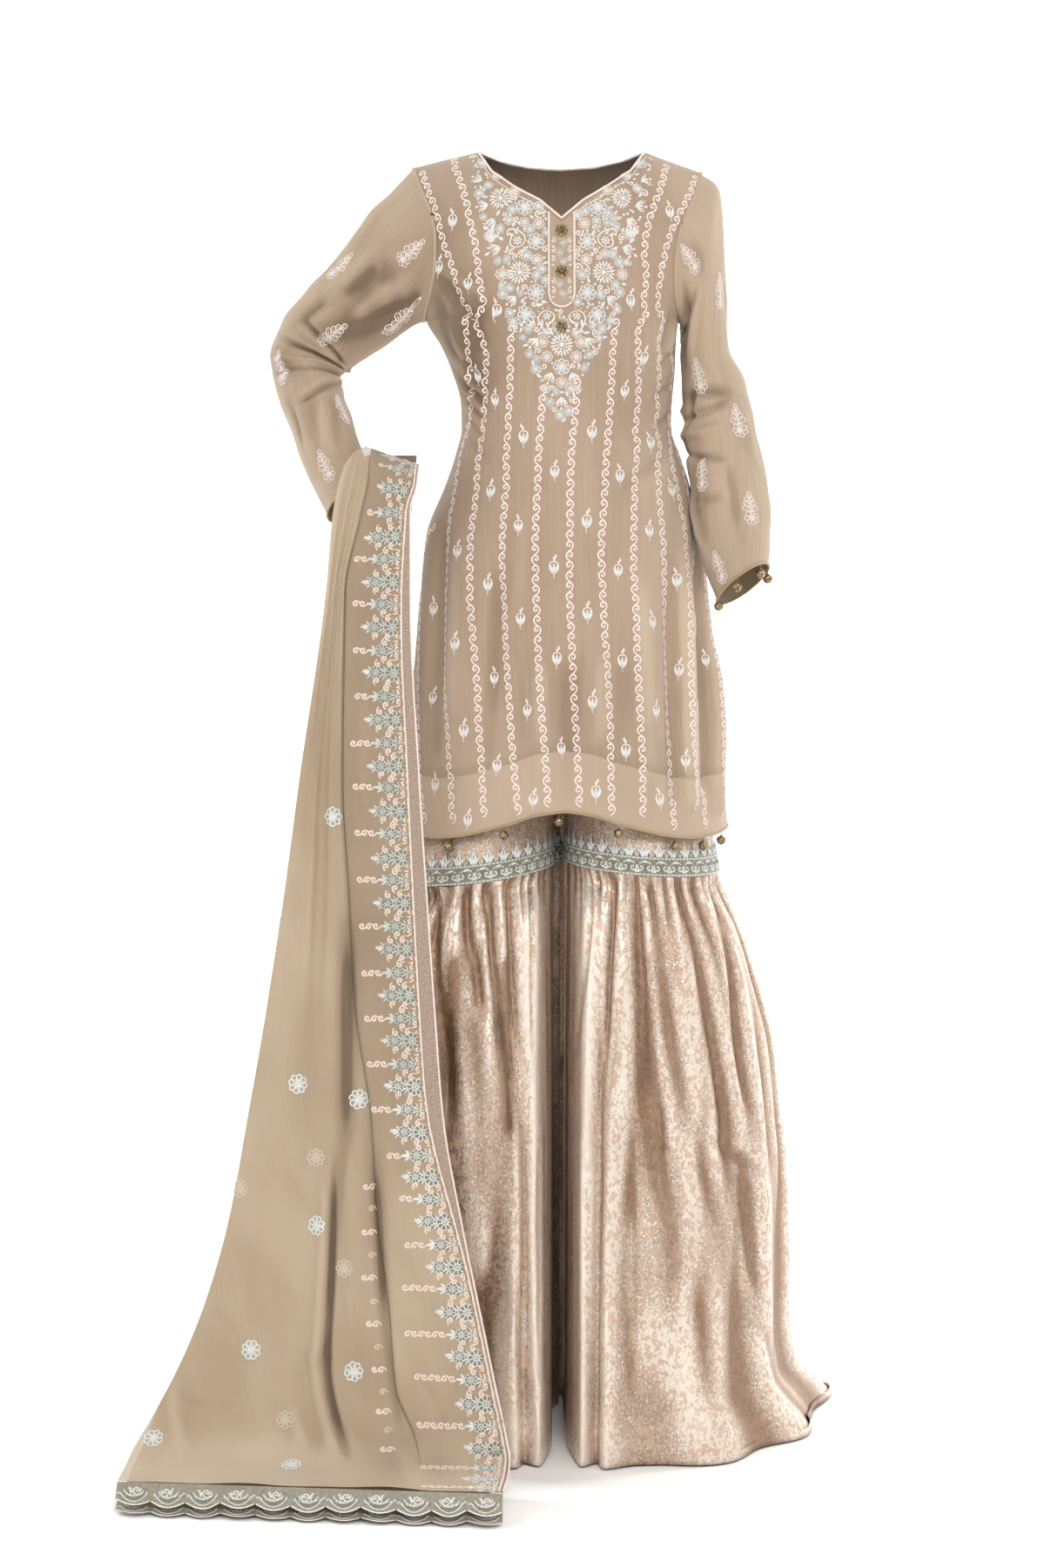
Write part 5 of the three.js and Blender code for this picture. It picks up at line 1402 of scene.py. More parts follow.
def jacquard_cloth(name):
    """Rose satin with a dense irregular figure of silver leaves; its glints, highlights and the
    shade of its folds are painted into its colour.
    """
    look = Look(name, Specular_IOR_Level=0.35)
    place = look.cloth_place(*PER_MM)
    drift = look.node("TexNoise", 1, Vector=place, Scale=0.13, Detail=2.0)
    drift = look.node("VectorMath", settings={"operation": "SCALE"}, _0=drift, Scale=10.0)
    bent = look.node("VectorMath", settings={"operation": "ADD"}, _0=place, _1=drift)
    tall = look.scaled(bent, 1.0, 0.62, 1)
    leaves = look.node("TexVoronoi", Vector=tall, Scale=0.24, Randomness=1.0)
    islands = look.noise(tall, 0.15, 4.0, 0.7)
    figure = look.plus(look.times(look.ramp(leaves, 0.7, 0.3), 0.7),
                       look.ramp(islands, 0.36, 0.64))
    figure = look.ramp(figure, 0.52, 0.78)
    speckle = look.noise(look.scaled(bent, 1.0, 0.6, 1), 0.55, 3.0, 0.75)
    slubs = look.noise(look.cloth_place(700, 26), 1.0, 3.0, 0.65)
    ground = look.tones(slubs, 0.3, 0.7, (192, 161, 138), (213, 183, 161))
    # painted sheen: the silver of the figure is painted paler on the fold crests and in broad
    # patches
    painted_sheen = look.plus(look.times(look.crest(-0.6, 1.6), 0.27),
                      look.times(look.noise(look.cloth_place(14, 7), 1.0), 0.2))
    silver = look.tones(look.plus(speckle, painted_sheen), 0.62, 0.8, (160, 142, 122), (244, 240, 230))
    colour = look.blend(look.times(figure, 0.85), ground, silver)
    shade = look.noise(look.cloth_place(9, 5), 1.0)
    # painted highlights: a glint on the fold crests, and a stronger one where the shade tables
    # raise the crest past 0.8
    painted_glint = look.times(look.crest(0.1, 0.9), look.plus(0.25, figure), True)
    painted_highlight = look.times(look.crest(0.8, 2.0), look.plus(0.5, speckle), True)
    # random darker clouds, painted shade in the troughs and deeper painted shade, then the two
    # painted highlights
    for mask, amount, tone in (
            (look.ramp(shade, 0.6, 0.35), 0.18, (150, 116, 94)),
            (look.crest(0.0, -0.9), 0.62, (128, 94, 66)),
            (look.crest(-1.0, -2.0), 0.6, (72, 50, 36)),
            (painted_glint, 0.42, (230, 212, 196)), (painted_highlight, 0.6, (248, 236, 222))):
        colour = look.tint(colour, mask, amount, tone)
    weave = look.plus(look.times(figure, look.plus(speckle, 0.4)), look.times(slubs, 0.5))
    rough = look.less(0.46, look.times(figure, 0.14))
    look.set(look.shader.inputs["Metallic"], look.plus(0.15, look.times(figure, 0.35)))
    return look.finish(colour, look.bump(weave, 0.0006, 0.6), rough)


def thread(name, pale, deep, metallic=0.0, rough=0.5, pitch=900, mid=0.0):
    """Twisted thread: short slanting strands of two tones."""
    look = Look(name, Metallic=metallic, Roughness=rough, Sheen_Weight=0.3, Sheen_Roughness=0.4)
    place = look.solid_place(pitch)
    strands = look.node("TexWave", settings={"bands_direction": "DIAGONAL"}, Vector=place,
                        Scale=0.55, Distortion=3.0, Detail=2.0)
    fleck = look.noise(place, 0.5, 3.0, 0.7)
    tone = look.plus(look.times(strands, 0.4), look.times(fleck, 0.6))
    colour = look.tones(tone, 0.26 + mid, 0.5 + mid, deep, pale)
    return look.finish(colour, look.bump(strands, 0.0004, 0.6))


def metal(name, pale, deep):
    """Antiqued metal: bright where it is rubbed and dark in its hollows."""
    look = Look(name, Metallic=0.9)
    place = look.solid_place(900)
    hollows = look.noise(place, 0.9, 3.0, 0.6)
    pits = look.node("TexVoronoi", Vector=place, Scale=0.8)
    tone = look.plus(look.times(hollows, 0.6), look.times(pits, 0.5))
    rough = look.plus(0.28, look.times(hollows, 0.25))
    return look.finish(look.tones(tone, 0.42, 0.7, deep, pale), look.bump(pits, 0.0004, 0.7), rough)


def tissue(name):
    """Metallic tissue: a fine speckle of rose and silver on thin ribs."""
    look = Look(name, Metallic=0.2, Roughness=0.5)
    speckle = look.noise(look.cloth_place(*PER_MM), 0.6, 3.0, 0.85)
    ribs = look.node("TexWave", Vector=look.cloth_place(1000, 400), Scale=0.5, Distortion=1.5)
    tone = look.plus(look.times(speckle, 0.8), look.times(ribs, 0.2))
    colour = look.tones(tone, 0.44, 0.55, (96, 82, 70), (198, 174, 157))
    return look.finish(colour, look.bump(tone, 0.0004, 0.5))


# the kurti's sides tone is a painted shade on the wearer's right side
KURTI = chiffon("kurti_crepe", (178, 155, 133), (159, 137, 116), FACING_TOP, sides=(150, 133, 112))
SLEEVE = chiffon("sleeve_crepe", (188, 167, 144), (167, 147, 124))
FACING = chiffon("facing_crepe", (198, 178, 154), (182, 162, 138))
SCARF = chiffon("dupatta_crepe", (193, 174, 148), (173, 153, 128), alpha=0.86, streaked=0.15)
# a darker copy of the dupatta crepe for the plies that hang behind: painted shade
SCARF_SHADED = chiffon("dupatta_shaded_crepe", (186, 166, 140), (168, 148, 122), streaked=0.15)
JACQUARD = jacquard_cloth("rose_jacquard")
TISSUE = tissue("rose_tissue")
PINK_THREAD = thread("pale_pink_thread", (252, 238, 230), (224, 198, 184))
SILVER_THREAD = thread("silver_blue_thread", (250, 252, 250), (150, 160, 156), 0.05, 0.45, mid=0.03)
SAGE_THREAD = thread("sage_thread", (142, 138, 118), (84, 82, 68), 0.15)
GOLD_THREAD = thread("dull_gold_thread", (186, 160, 122), (132, 106, 76), 0.2)
THREADS = [PINK_THREAD, SILVER_THREAD, SAGE_THREAD, GOLD_THREAD]
# the dupatta's silver thread is a darker copy of the kurti's, a painted shade on the upper border;
# SNOW is the kurti's paler silver
SCARF_THREADS = [
    thread("dupatta_pink_thread", (246, 226, 214), (208, 176, 158)),
    thread("dupatta_silver_thread", (246, 250, 245), (122, 130, 122), 0.05, 0.45, mid=0.09),
    SAGE_THREAD, GOLD_THREAD, SILVER_THREAD,
    thread("veiled_thread", (214, 197, 174), (198, 179, 153))]
PINK, SILVER, SAGE, _, SNOW, VEIL = range(6)  # the places of the threads in these lists
BRAID = thread("braid_ground", (156, 150, 130), (104, 98, 82), 0.2)
LACE_GROUND = thread("lace_ground", (166, 162, 144), (68, 64, 50), 0.1, 0.6, pitch=520)
ANTIQUE = metal("antique_metal", (196, 172, 132), (58, 46, 32))


# ---------------------------------------------------------------- stitches
def curve(points, parts=3):
    """A smooth line through points, with this many steps between each two."""
    p = np.asarray(points, float)
    ends = np.concatenate([[2 * p[0] - p[1]], p, [2 * p[-1] - p[-2]]])
    t = np.linspace(0, 1, parts, endpoint=False)[None, :, None]
    a, b, c, d = (ends[k:len(ends) - 3 + k, None] for k in range(4))
    line = b + t / 2 * (c - a + t * (2 * a - 5 * b + 4 * c - d + t * (3 * b - a - 3 * c + d)))
    return np.concatenate([line.reshape(-1, p.shape[1]), p[-1:]])


def polar(distance, angle, x=0.0, y=0.0):
    """The place at a distance from x, y, at an angle measured clockwise from straight up."""
    a = math.radians(angle)
    return x + distance * math.sin(a), y + distance * math.cos(a)


def turned_by(angle, x, y):
    """Flat places turned clockwise by an angle."""
    s, c = polar(1, angle)
    return np.stack([x * c + y * s, y * c - x * s], -1)


class Motif:
    """Stitches drawn in the flat, in millimetres, as raised ribbons."""

    def __init__(self):
        self.flat, self.high, self.faces, self.tones = [], [], [], []
        self.count = 0

    def ribbon(self, line, width, tone, high=0.55, loop=False):
        width = np.broadcast_to(width, len(line))[:, None]
        ahead = tangents(line, loop)
        side = np.stack([-ahead[:, 1], ahead[:, 0]], -1) * width / 2
        flat = np.stack([line - side, line, line + side], 1).reshape(-1, 2)
        crown = high * np.sqrt(width[:, 0] / width.max())
        rise = np.stack([0.05 + 0 * crown, crown, 0.05 + 0 * crown], 1).ravel()
        i = np.arange(len(line) if loop else len(line) - 1)[:, None]
        j, nxt = np.arange(2)[None], (i + 1) % len(line)
        faces = np.stack([i * 3 + j, nxt * 3 + j, nxt * 3 + j + 1, i * 3 + j + 1], -1)
        self.extend(flat, rise, faces.reshape(-1, 4), np.full(faces.shape[0] * 2, tone))
        return self

    def extend(self, flat, high, faces, tones):
        self.flat.append(flat)
        self.high.append(high)
        self.faces.append(faces + self.count)
        self.tones.append(tones)
        self.count += len(flat)

    def line(self, points, width, tone, parts=3, taper=0.5):
        line = curve(points, parts)
        t = np.linspace(0, 1, len(line))
        thin = mix(taper, 1, np.sqrt(np.sin(math.pi * np.clip(t, 0.03, 0.97))))
        return self.ribbon(line, width * thin, tone)

    def leaf(self, x, y, angle, length, width, tone, bend=0.0, high=0.7):
        """A leaf or petal from its foot, growing along an angle measured from straight up."""
        t = np.linspace(0, 1, 6)
        line = turned_by(angle, bend * length * np.sin(math.pi * t), length * t) + (x, y)
        return self.ribbon(line, np.maximum(width * np.sin(math.pi * t ** 0.85), 0.15), tone, high)

    def loop(self, x, y, angle, length, width, tone, thick=1.1):
        """A leaf or petal drawn as an outline, open in its middle."""
        t = np.linspace(0, 2 * math.pi, 11)[:-1]
        out = width / 2 * np.sin(t) * (1.1 - 0.25 * np.cos(t))
        line = turned_by(angle, out, length * (0.5 - 0.5 * np.cos(t))) + (x, y)
        return self.ribbon(line, thick, tone, 0.6, True)

    def curl(self, x, y, size, angle, hand, tone, width=1.5):
        """A comma: a tail that comes down one side of a small round hook."""
        hook = CURL * (hand, 1) * size / 10
        return self.line(turned_by(angle, *hook.T) + (x, y), width, tone, parts=2)

    def dot(self, x, y, radius, tone, high=0.7):
        t = np.linspace(-0.96, 0.96, 5)
        line = np.stack([x + 0 * t, y + radius * t], -1)
        return self.ribbon(line, 2 * radius * np.sqrt(1 - t * t), tone, high)

    def ring(self, x, y, radius, tone, width):
        turn = np.linspace(0, 2 * math.pi, 9, endpoint=False)
        line = np.stack([x + radius * np.cos(turn), y + radius * np.sin(turn)], -1)
        return self.ribbon(line, width, tone, loop=True)

    def add(self, other, x, y):
        flat, high, faces, tones = other.built()
        self.extend(flat + (x, y), high, faces, tones)
        return self

    def built(self):
        return tuple(np.concatenate(lists) for lists in (self.flat, self.high, self.faces,
                                                         self.tones))


# A hook 10 mm tall: its tail starts at the top and the curl closes near the middle.
CURL = np.array([(1.6, 6.4), (-0.9, 5.0), (-2.9, 2.2), (-3.0, -1.0), (-0.8, -3.3), (1.9, -2.6),
                 (2.8, -0.2), (1.4, 1.5), (-0.5, 0.7), (0.2, -0.7)])


class Needlework:
    """Motifs laid on a piece of cloth, joined into one mesh that rides on it."""

    def __init__(self, cloth):
        self.cloth = cloth
        self.parts = []

    def lay(self, motif, place, up=(0, 0, 1), angle=0.0, size=1.0, hand=1, cloth=None):
        """Lay a motif with its origin at a grid place (row, column), its +y turned from up."""
        cloth = cloth or self.cloth
        flat, high, faces, tones = motif.built() if isinstance(motif, Motif) else motif
        local = turned_by(angle, flat[:, 0] * size * hand, flat[:, 1] * size)
        i, j = cloth.spread(place, up, local)
        points = cloth.point(i, j) + cloth.out(i, j) * (high[:, None] + THREAD_LIFT)
        self.parts.append((points, faces if hand > 0 else faces[:, ::-1], tones))

    def lay_all(self, motif, places, way="along", turn=lambda k: 0):
        """Lay a motif at shares of the cloth, each with its +y back along the cloth or across."""
        for k, (u, v) in enumerate(places):
            place = self.cloth.at(u, v)
            up = -self.cloth.sample(getattr(self.cloth, way), *place)
            self.lay(motif, place, up=up, angle=turn(k))

    def build(self, name, slot, materials):
        points, faces, tones = join(self.parts)
        return link(raw_mesh(name, points, faces, materials, tones), name)


THREAD_LIFT = 0.15  # embroidery stands this far off the cloth at its edges


def bulb():
    """A small closed bud on a stem: silver leaves inside a pale outline."""
    m = Motif().loop(0, -7.8, 0, 13.5, 9.2, PINK, 1.3)
    for side in (-1, 1):
        m.leaf(side * 0.7, -6.4, side * 19, 9.6, 3.0, SILVER, side * 0.08)
    m.leaf(0, -6.8, 0, 11.4, 2.6, SILVER)
    m.line([(0.2, 5.2), (1.0, 9.0), (2.6, 13.4)], 2.0, PINK, taper=0.25)
    m.leaf(0.6, 6.6, -30, 4.0, 1.5, PINK).leaf(1.4, 8.8, 44, 3.6, 1.4, PINK)
    return m.line([(0, -7.6), (-0.4, -10), (0.1, -13.5)], 0.9, PINK)


def spray():
    """A sprig as tall as a thumb: a looped flower, leaf pairs above it and a bud at the tip."""
    m = Motif().line([(0, -12), (0.8, -2), (0, 8), (0.6, 15)], 1.2, PINK)
    for k, y in enumerate((-2.5, 3.0, 8.5)):
        for side in (-1, 1):
            m.loop(side * 0.6, y, side * (54 - 9 * k), 9.8 - 1.5 * k, 4.8 - 0.5 * k, PINK, 1.0)
            m.leaf(side * 1.4, y + 0.6, side * (54 - 9 * k), 7.0 - 1.2 * k, 1.1, SILVER)
    m.loop(0.4, 12.6, 3, 8.2, 4.4, PINK).leaf(0.4, 13.6, 3, 5.4, 1.6, SILVER)
    for k in range(7):
        angle = 360 * k / 7 + 12
        m.loop(*polar(2.0, angle, 0, -10.5), angle, 6.8, 4.6, PINK, 1.0)
        m.leaf(*polar(2.2, angle, 0, -10.5), angle, 4.8, 1.0, SILVER)
    return m.dot(0, -10.5, 1.9, SILVER, 1.0)


def floret(radius, tone, heart, thick=0.11):
    """A round flower of eight looped petals, open in their middles."""
    m = Motif()
    for angle in range(0, 360, 45):
        m.loop(*polar(radius * 0.24, angle), angle, radius * 0.76, radius * 0.5, tone,
               radius * thick)
        m.leaf(*polar(radius * 0.3, angle), angle, radius * 0.5, radius * 0.12, SILVER)
    return m.dot(0, 0, radius * 0.2, heart, 1.0)


def rosette(radius):
    """A dense round flower of the border: crowded silver petals on a sage ground."""
    m = Motif().dot(0, 0, radius * 0.94, SAGE, 0.25)
    for angle in range(0, 360, 40):
        m.loop(*polar(radius * 0.36, angle), angle, radius * 0.66, radius * 0.5, SILVER,
               radius * 0.12)
        m.leaf(*polar(radius * 0.14, angle + 20), angle + 20, radius * 0.42, radius * 0.16, SILVER)
    return m.dot(0, 0, radius * 0.16, PINK, 1.0)


def border_large():
    """One row of the border that starts at a rosette; +y runs away from the strip."""
    m = Motif()
    for side in (-1, 1):
        m.leaf(side * 1.0, 17.5, side * 46, 9.5, 4.6, SAGE, high=0.3)
        m.leaf(side * 1.0, 18.0, side * 28, 9.0, 2.2, SILVER)
        m.leaf(side * 2, 18, side * 58, 7.5, 2, SILVER)
        m.curl(side * 10.0, 3.2, 7.2, 90 * side, -side, PINK, 1.9)
        m.curl(side * 10.6, 14.6, 7.4, 120 * side, side, PINK, 1.9)
        m.curl(side * 9.0, 28.0, 7.6, 70 * side, side, PINK, 1.9)
        m.leaf(side * 2.6, 35.0, side * 50, 5.5, 2.2, SILVER)
    m.add(rosette(9.4), 0, 9.6).add(rosette(6.9), 0, 29.0)
    for side in (-1, 1):
        m.leaf(0, 35.0, side * 26, 7.0, 2.6, SILVER)
    return m.leaf(0, 35.5, 0, 9.5, 3.2, PINK).leaf(0.5, 40, 24, 5, 2.0, SILVER)


CHAIN_START, CHAIN_PITCH = 42.0, 7.6  # the hooks that end a small row


def border_small(hooks):
    """The row between two rosettes: a ring, a flower, a bud and a chain of hooks."""
    m = Motif().ring(0, 4.4, 3.2, SILVER, 1.5).dot(0, 4.4, 1.2, PINK)
    for side in (-1, 1):
        m.curl(side * 6.4, 5.0, 8.0, 60 * side, -side, PINK, 1.9)
        m.leaf(side * 0.8, 8.5, side * 44, 9.0, 4.4, SAGE, high=0.3)
        m.leaf(side * 0.6, 8.5, side * 24, 8.5, 2.1, SILVER)
        m.leaf(side * 2, 9, side * 58, 7, 1.9, SILVER)
        m.curl(side * 9.0, 19.0, 7.6, 80 * side, side, PINK, 1.9)
        m.leaf(side * 1.0, 28.0, side * 40, 7.5, 3.0, SILVER)
    m.add(rosette(7.2), 0, 21.0)
    m.leaf(0, 28, 0, 10, 3.8, SILVER).leaf(0, 30, 12, 6, 2.0, PINK)
    for k in range(hooks):
        m.curl(0, CHAIN_START + CHAIN_PITCH * k, 8.6, 180, 1 if k % 2 else -1, PINK, 2.0)
    return m


# ---------------------------------------------------------------- building: kurti
def cord(name, line, radius, loop, look, nodes=(), sides=8):
    points, faces = cord_mesh(line, radius, loop, sides, ROPE_LAY)
    link(raw_mesh(name, points, faces, [look]), name, nodes)


ROPE_LAY = 0.9  # turn of a cord's strands in each millimetre
HEM_LENGTH = 720  # from the hem up to the top edge, for the height of the facing
PANEL_OUT = 0.6  # how far the hem cords stand off the panels

front, back = kurti_cloth("front"), kurti_cloth("back")
panels = (("front", front), ("back", back))
for (face, cloth), (other, _) in zip(panels, panels[::-1]):
    sheet(f"kurti_{face}_cloth", cloth, KURTI, [f"kurti_{face}"])
for face, cloth in panels:
    count = sum(v * HEM_LENGTH <= FACING_TOP for v in cloth.vs)
    inner = Cloth(cloth.points[:count], 1, cloth.us, cloth.vs[:count]).lifted(-1.7)
    sheet(f"hem_facing_{face}_cloth", inner, FACING, [f"hem_facing_{face}"])
    line = cloth.lifted(PANEL_OUT).points[0, 1:-1:2] - (0, 0, 0.8)
    cord(f"hem_cord_{face}", line, 1.25, False, GOLD_THREAD, [f"hem_piping_{face}"])

around = np.concatenate([cloth.lifted(0.9).points[-1, [0.199 < u < 0.801 for u in cloth.us]]
                         for cloth in (front, back)])
cord("neck_cord", around + (0, 0, 0.6), 1.15, True, PINK_THREAD, ["neck_piping"])

placket = placket_cloth()
sheet("placket_cloth", placket, SLEEVE, ["placket"])
outline = np.concatenate([placket.points[::-1, 0], placket.points[0, 1:-1], placket.points[:, -1]])
cord("placket_cord", outline + (0, -0.6, 0), 1.0, False, PINK_THREAD)

sleeves = {arm: sleeve_cloth(arm) for arm in ARM_SIGN}
for arm, cloth in sleeves.items():
    low = arm.lower()
    sheet(f"sleeve_{low}_cloth", cloth, SLEEVE, [f"sleeve_{low}"])
    seam = cloth.lifted(-0.2).points[0, :-1]
    cord(f"armhole_seam_{low}", seam, 1.9, True, SLEEVE)
    ring = cloth.lifted(0.8).points[-1, :-1]
    cord(f"cuff_cord_{low}", ring, 1.25, True, GOLD_THREAD, [f"cuff_piping_{low}"])


# ---------------------------------------------------------------- building: metal
def turned(profile, sides, petals=0, depth=0.0):
    """Points and quads of a shape turned round z, its radius waved into petals."""
    profile = np.asarray(profile, float)
    turn = np.linspace(0, 2 * math.pi, sides, endpoint=False)
    radius = profile[:, :1] * (1 + (depth * np.cos(petals * turn) if petals else 0 * turn))
    points = stack(radius * np.cos(turn), radius * np.sin(turn), profile[:, 1:2])
    return points.reshape(-1, 3), rings(len(profile), sides)


def ball(radius, sides, rows, swell=0.0, lobes=0):
    t = np.linspace(0.02, 0.98, rows) * math.pi
    r = radius * (1 + swell * np.abs(np.sin(2.5 * t)))
    return turned(np.stack([r * np.sin(t), -r * np.cos(t)], -1), sides, lobes, swell)


def moved(made, place, size=1, tone=0):
    """A part for join: points and faces scaled and moved to a place."""
    points, faces = made
    return points * size + place, faces, tone


def polar_place(radius, turn, height):
    return radius * math.cos(turn), radius * math.sin(turn), height


def facing_out(points, normal, at):
    """Stand points that were made round +z on a place, with +z turned to its normal."""
    z = unit(np.asarray(normal, float))
    x = unit(np.cross([0, 0, 1.0], z))
    return points[:, :1] * x + points[:, 1:2] * np.cross(z, x) + points[:, 2:] * z + at


def flower_button():
    """A dished flower of eight petals, each with a ball, round grains and a middle."""
    plate = [(0.1, 0), (5.8, 0), (6.4, 0.7), (6.1, 1.4), (4.6, 1.6), (4.0, 1.2), (0.1, 1.2)]
    parts = [(*turned(plate, 64, 8, 0.07), 0)]
    for k in range(8):
        a = 2 * math.pi * k / 8
        parts.append(moved(ball(1.45, 8, 6, 0.1), polar_place(3.9, a, 1.7), (1.0, 1.0, 0.6)))
        parts.append(moved(ball(0.6, 6, 5), polar_place(2.1, a + 0.4, 1.9)))
    parts.append(moved(ball(1.5, 10, 6), (0, 0, 1.9), (1, 1, 0.8)))
    return join(parts)


ON_PLACKET, ON_FRONT = 1.9, 0.7  # how far off the front a button stands on each
button_points, faces, _ = flower_button()
for k, z in enumerate(BUTTON_LEVELS):
    place = front.find((V_POINT[0], z))
    normal = front.sample(front.normal, *place)
    rest = front.point(*place) + normal * (ON_PLACKET if z > PLACKET_END else ON_FRONT)
    name = f"flower_button_{k + 1}"
    link(raw_mesh(name, facing_out(button_points, normal, rest), faces, [ANTIQUE]), name,
         [f"button_{k + 1}"])


def filigree_bead():
    """A ball of coiled wire with grains round its middle, a cap and a thread loop above it."""
    parts = [(*ball(4.9, 24, 16, 0.07, 6), 0)]
    for level, count, size in ((0, 8, 1.0), (2.9, 6, 0.85), (-2.9, 6, 0.85), (-4.7, 1, 1.1)):
        out = math.sqrt(max(0.0, 4.7 ** 2 - level ** 2))
        for k in range(count):
            place = polar_place(out, 2 * math.pi * (k + level) / count, level)
            parts.append(moved(ball(size, 6, 5), place))
    parts.append((*turned([(2.4, 4.0), (2.2, 5.0), (0.9, 5.6), (0.7, 6.4), (0.1, 6.5)], 12), 0))
    loop = np.array([(0.5 * math.sin(t), 0.5 * math.cos(t * 2), 6.2 + 4.4 * t / 6)
                     for t in np.linspace(0, 6, 9)])
    parts.append((*cord_mesh(loop, 0.55, False, 6), 1))
    return join(parts)


BEAD_DROP = 11.0
bead = filigree_bead()


def hang_beads(kind, places):
    name = f"{kind}_beads"
    points, faces, tones = join([(bead[0] + (x, y, z - BEAD_DROP), *bead[1:])
                                 for x, y, z in places])
    link(raw_mesh(name, points, faces, [ANTIQUE, GOLD_THREAD], tones), name,
         [f"{kind}_bead_{k + 1}" for k in range(len(places))])


hem = front.points[0]
hang_beads("hem", [[np.interp(x, hem[:, 0], hem[:, k]) for k in range(3)] for x in HEM_BEADS])
cuff = sleeves["Left"]
hang_beads("cuff", [cuff.point(*cuff.at(u, 1)) for u in CUFF_BEADS])


# ---------------------------------------------------------------- building: gharara
sheet("waistband_cloth", waist_cloth(), JACQUARD, ["waistband"])
for leg in LEG_SIGN:
    sheet(f"thigh_{leg}_cloth", thigh_cloth(leg), JACQUARD, [f"thigh_{leg}"])
    gathered = flare_cloth(leg)
    sheet(f"flare_{leg}_cloth", gathered, JACQUARD, [f"flare_{leg}"],
          uv=gathered.lengths(0.25))


def leaf_tip():
    m = Motif()
    for side in (-1, 1):
        m.leaf(side * 1.0, 0, side * 34, 11.5, 4.4, SILVER, side * -0.12)
        m.leaf(side * 5.2, 0, side * 12, 7.5, 3.0, SAGE, side * -0.1)
        m.line([(side * 7.6, 0), (side * 6.8, 4.5), (side * 3.2, 8), (0, 15.5)], 1.2, SILVER)
    m.leaf(0, 2, 0, 15.5, 4.6, SILVER).leaf(0, 5, 0, 9, 2.0, SAGE, high=1.1)
    return m.dot(0, 18.6, 1.3, SILVER)


def braid_unit():
    m = Motif()
    m.curl(-0.6, -1.2, 10.5, 12, 1, SILVER, 1.5).leaf(3.2, -5.8, 24, 10.5, 3.0, SAGE, high=0.9)
    m.leaf(-3.8, 5.6, 160, 8.0, 2.2, SAGE, high=0.9).dot(3.4, 5.4, 1.6, SILVER)
    return m.dot(-3.4, -5.6, 1.5, SILVER)


BRAID_MIDDLE, BRAID_EDGES = 10.5, (1.6, 19.6)  # heights over the knee seam
SCROLL_PITCH, TIP_PITCH = 9.2, 17.5


def knee_trim(leg):
    """Dense braid over the knee seam with a row of leaf tips standing on it."""
    band, upper = knee_cloth(leg, 0.5, 21, 1.1), knee_cloth(leg, 18, 41, 0.35)
    sheet(f"knee_band_{leg}_cloth", band, BRAID, [f"knee_band_{leg}"])
    work = Needlework(band)
    length = distances(band.point(*band.at(band.us, BRAID_MIDDLE + 0 * band.us)))
    scrolls, tips = round(length[-1] / SCROLL_PITCH), round(length[-1] / TIP_PITCH)

    def share(at, count):
        return np.interp((at + 0.5) * length[-1] / count, length, band.us)

    tip, scroll = leaf_tip(), braid_unit()
    edge = Motif().leaf(-2.2, -0.4, 80, 4.8, 2.0, SILVER, high=1.0)
    for k in range(scrolls):
        work.lay(scroll, band.at(share(k, scrolls), BRAID_MIDDLE), hand=1 if k % 2 else -1,
                 size=0.98)
        for height in BRAID_EDGES:
            for step in (-0.25, 0.25):
                work.lay(edge, band.at(share(k + step, scrolls), height))
    for k in range(tips):
        work.lay(tip, upper.at(share(k, tips), 20.0), cloth=upper)
    work.build(f"knee_braid_{leg}", "knee_trim", THREADS)


for leg in LEG_SIGN:
    knee_trim(leg)


# ---------------------------------------------------------------- building: dupatta
upper_fall, lower_fall, strip, rear_fall = front_layer(), lower_layer(), strip_cloth(), rear_cloth()
for part, cloth, look, slot, node, anchor in (
        ("front", upper_fall, SCARF, "dupatta_chiffon", "front_layer", 1.0),
        ("under", lower_fall, SCARF_SHADED, "dupatta_chiffon", "under_layer", 1.0),
        ("strip", strip, TISSUE, "tissue_strip", "edge_strip", 0.5),
        ("rear", rear_fall, SCARF_SHADED, "dupatta_chiffon", "rear_fall", 1.0)):
    sheet(f"dupatta_{part}_cloth", cloth, look, [f"dupatta_{node}"],
          anchor=anchor)
for side, column in (("inner", 0), ("outer", -1)):
    cord(f"strip_cord_{side}", strip.lifted(0.5).points[1:, column], 0.95, False, PINK_THREAD,
         sides=6)
seam_line = upper_fall.lifted(0.35).points[1:, -1] - (2.6, 0, 0)
cord("strip_seam_cord", seam_line, 0.75, False, GOLD_THREAD, sides=6)

ARCS = ((0.97, PINK, 1.7), (0.84, SILVER, 1.3), (0.71, SAGE, 1.3), (0.60, SILVER, 1.5))


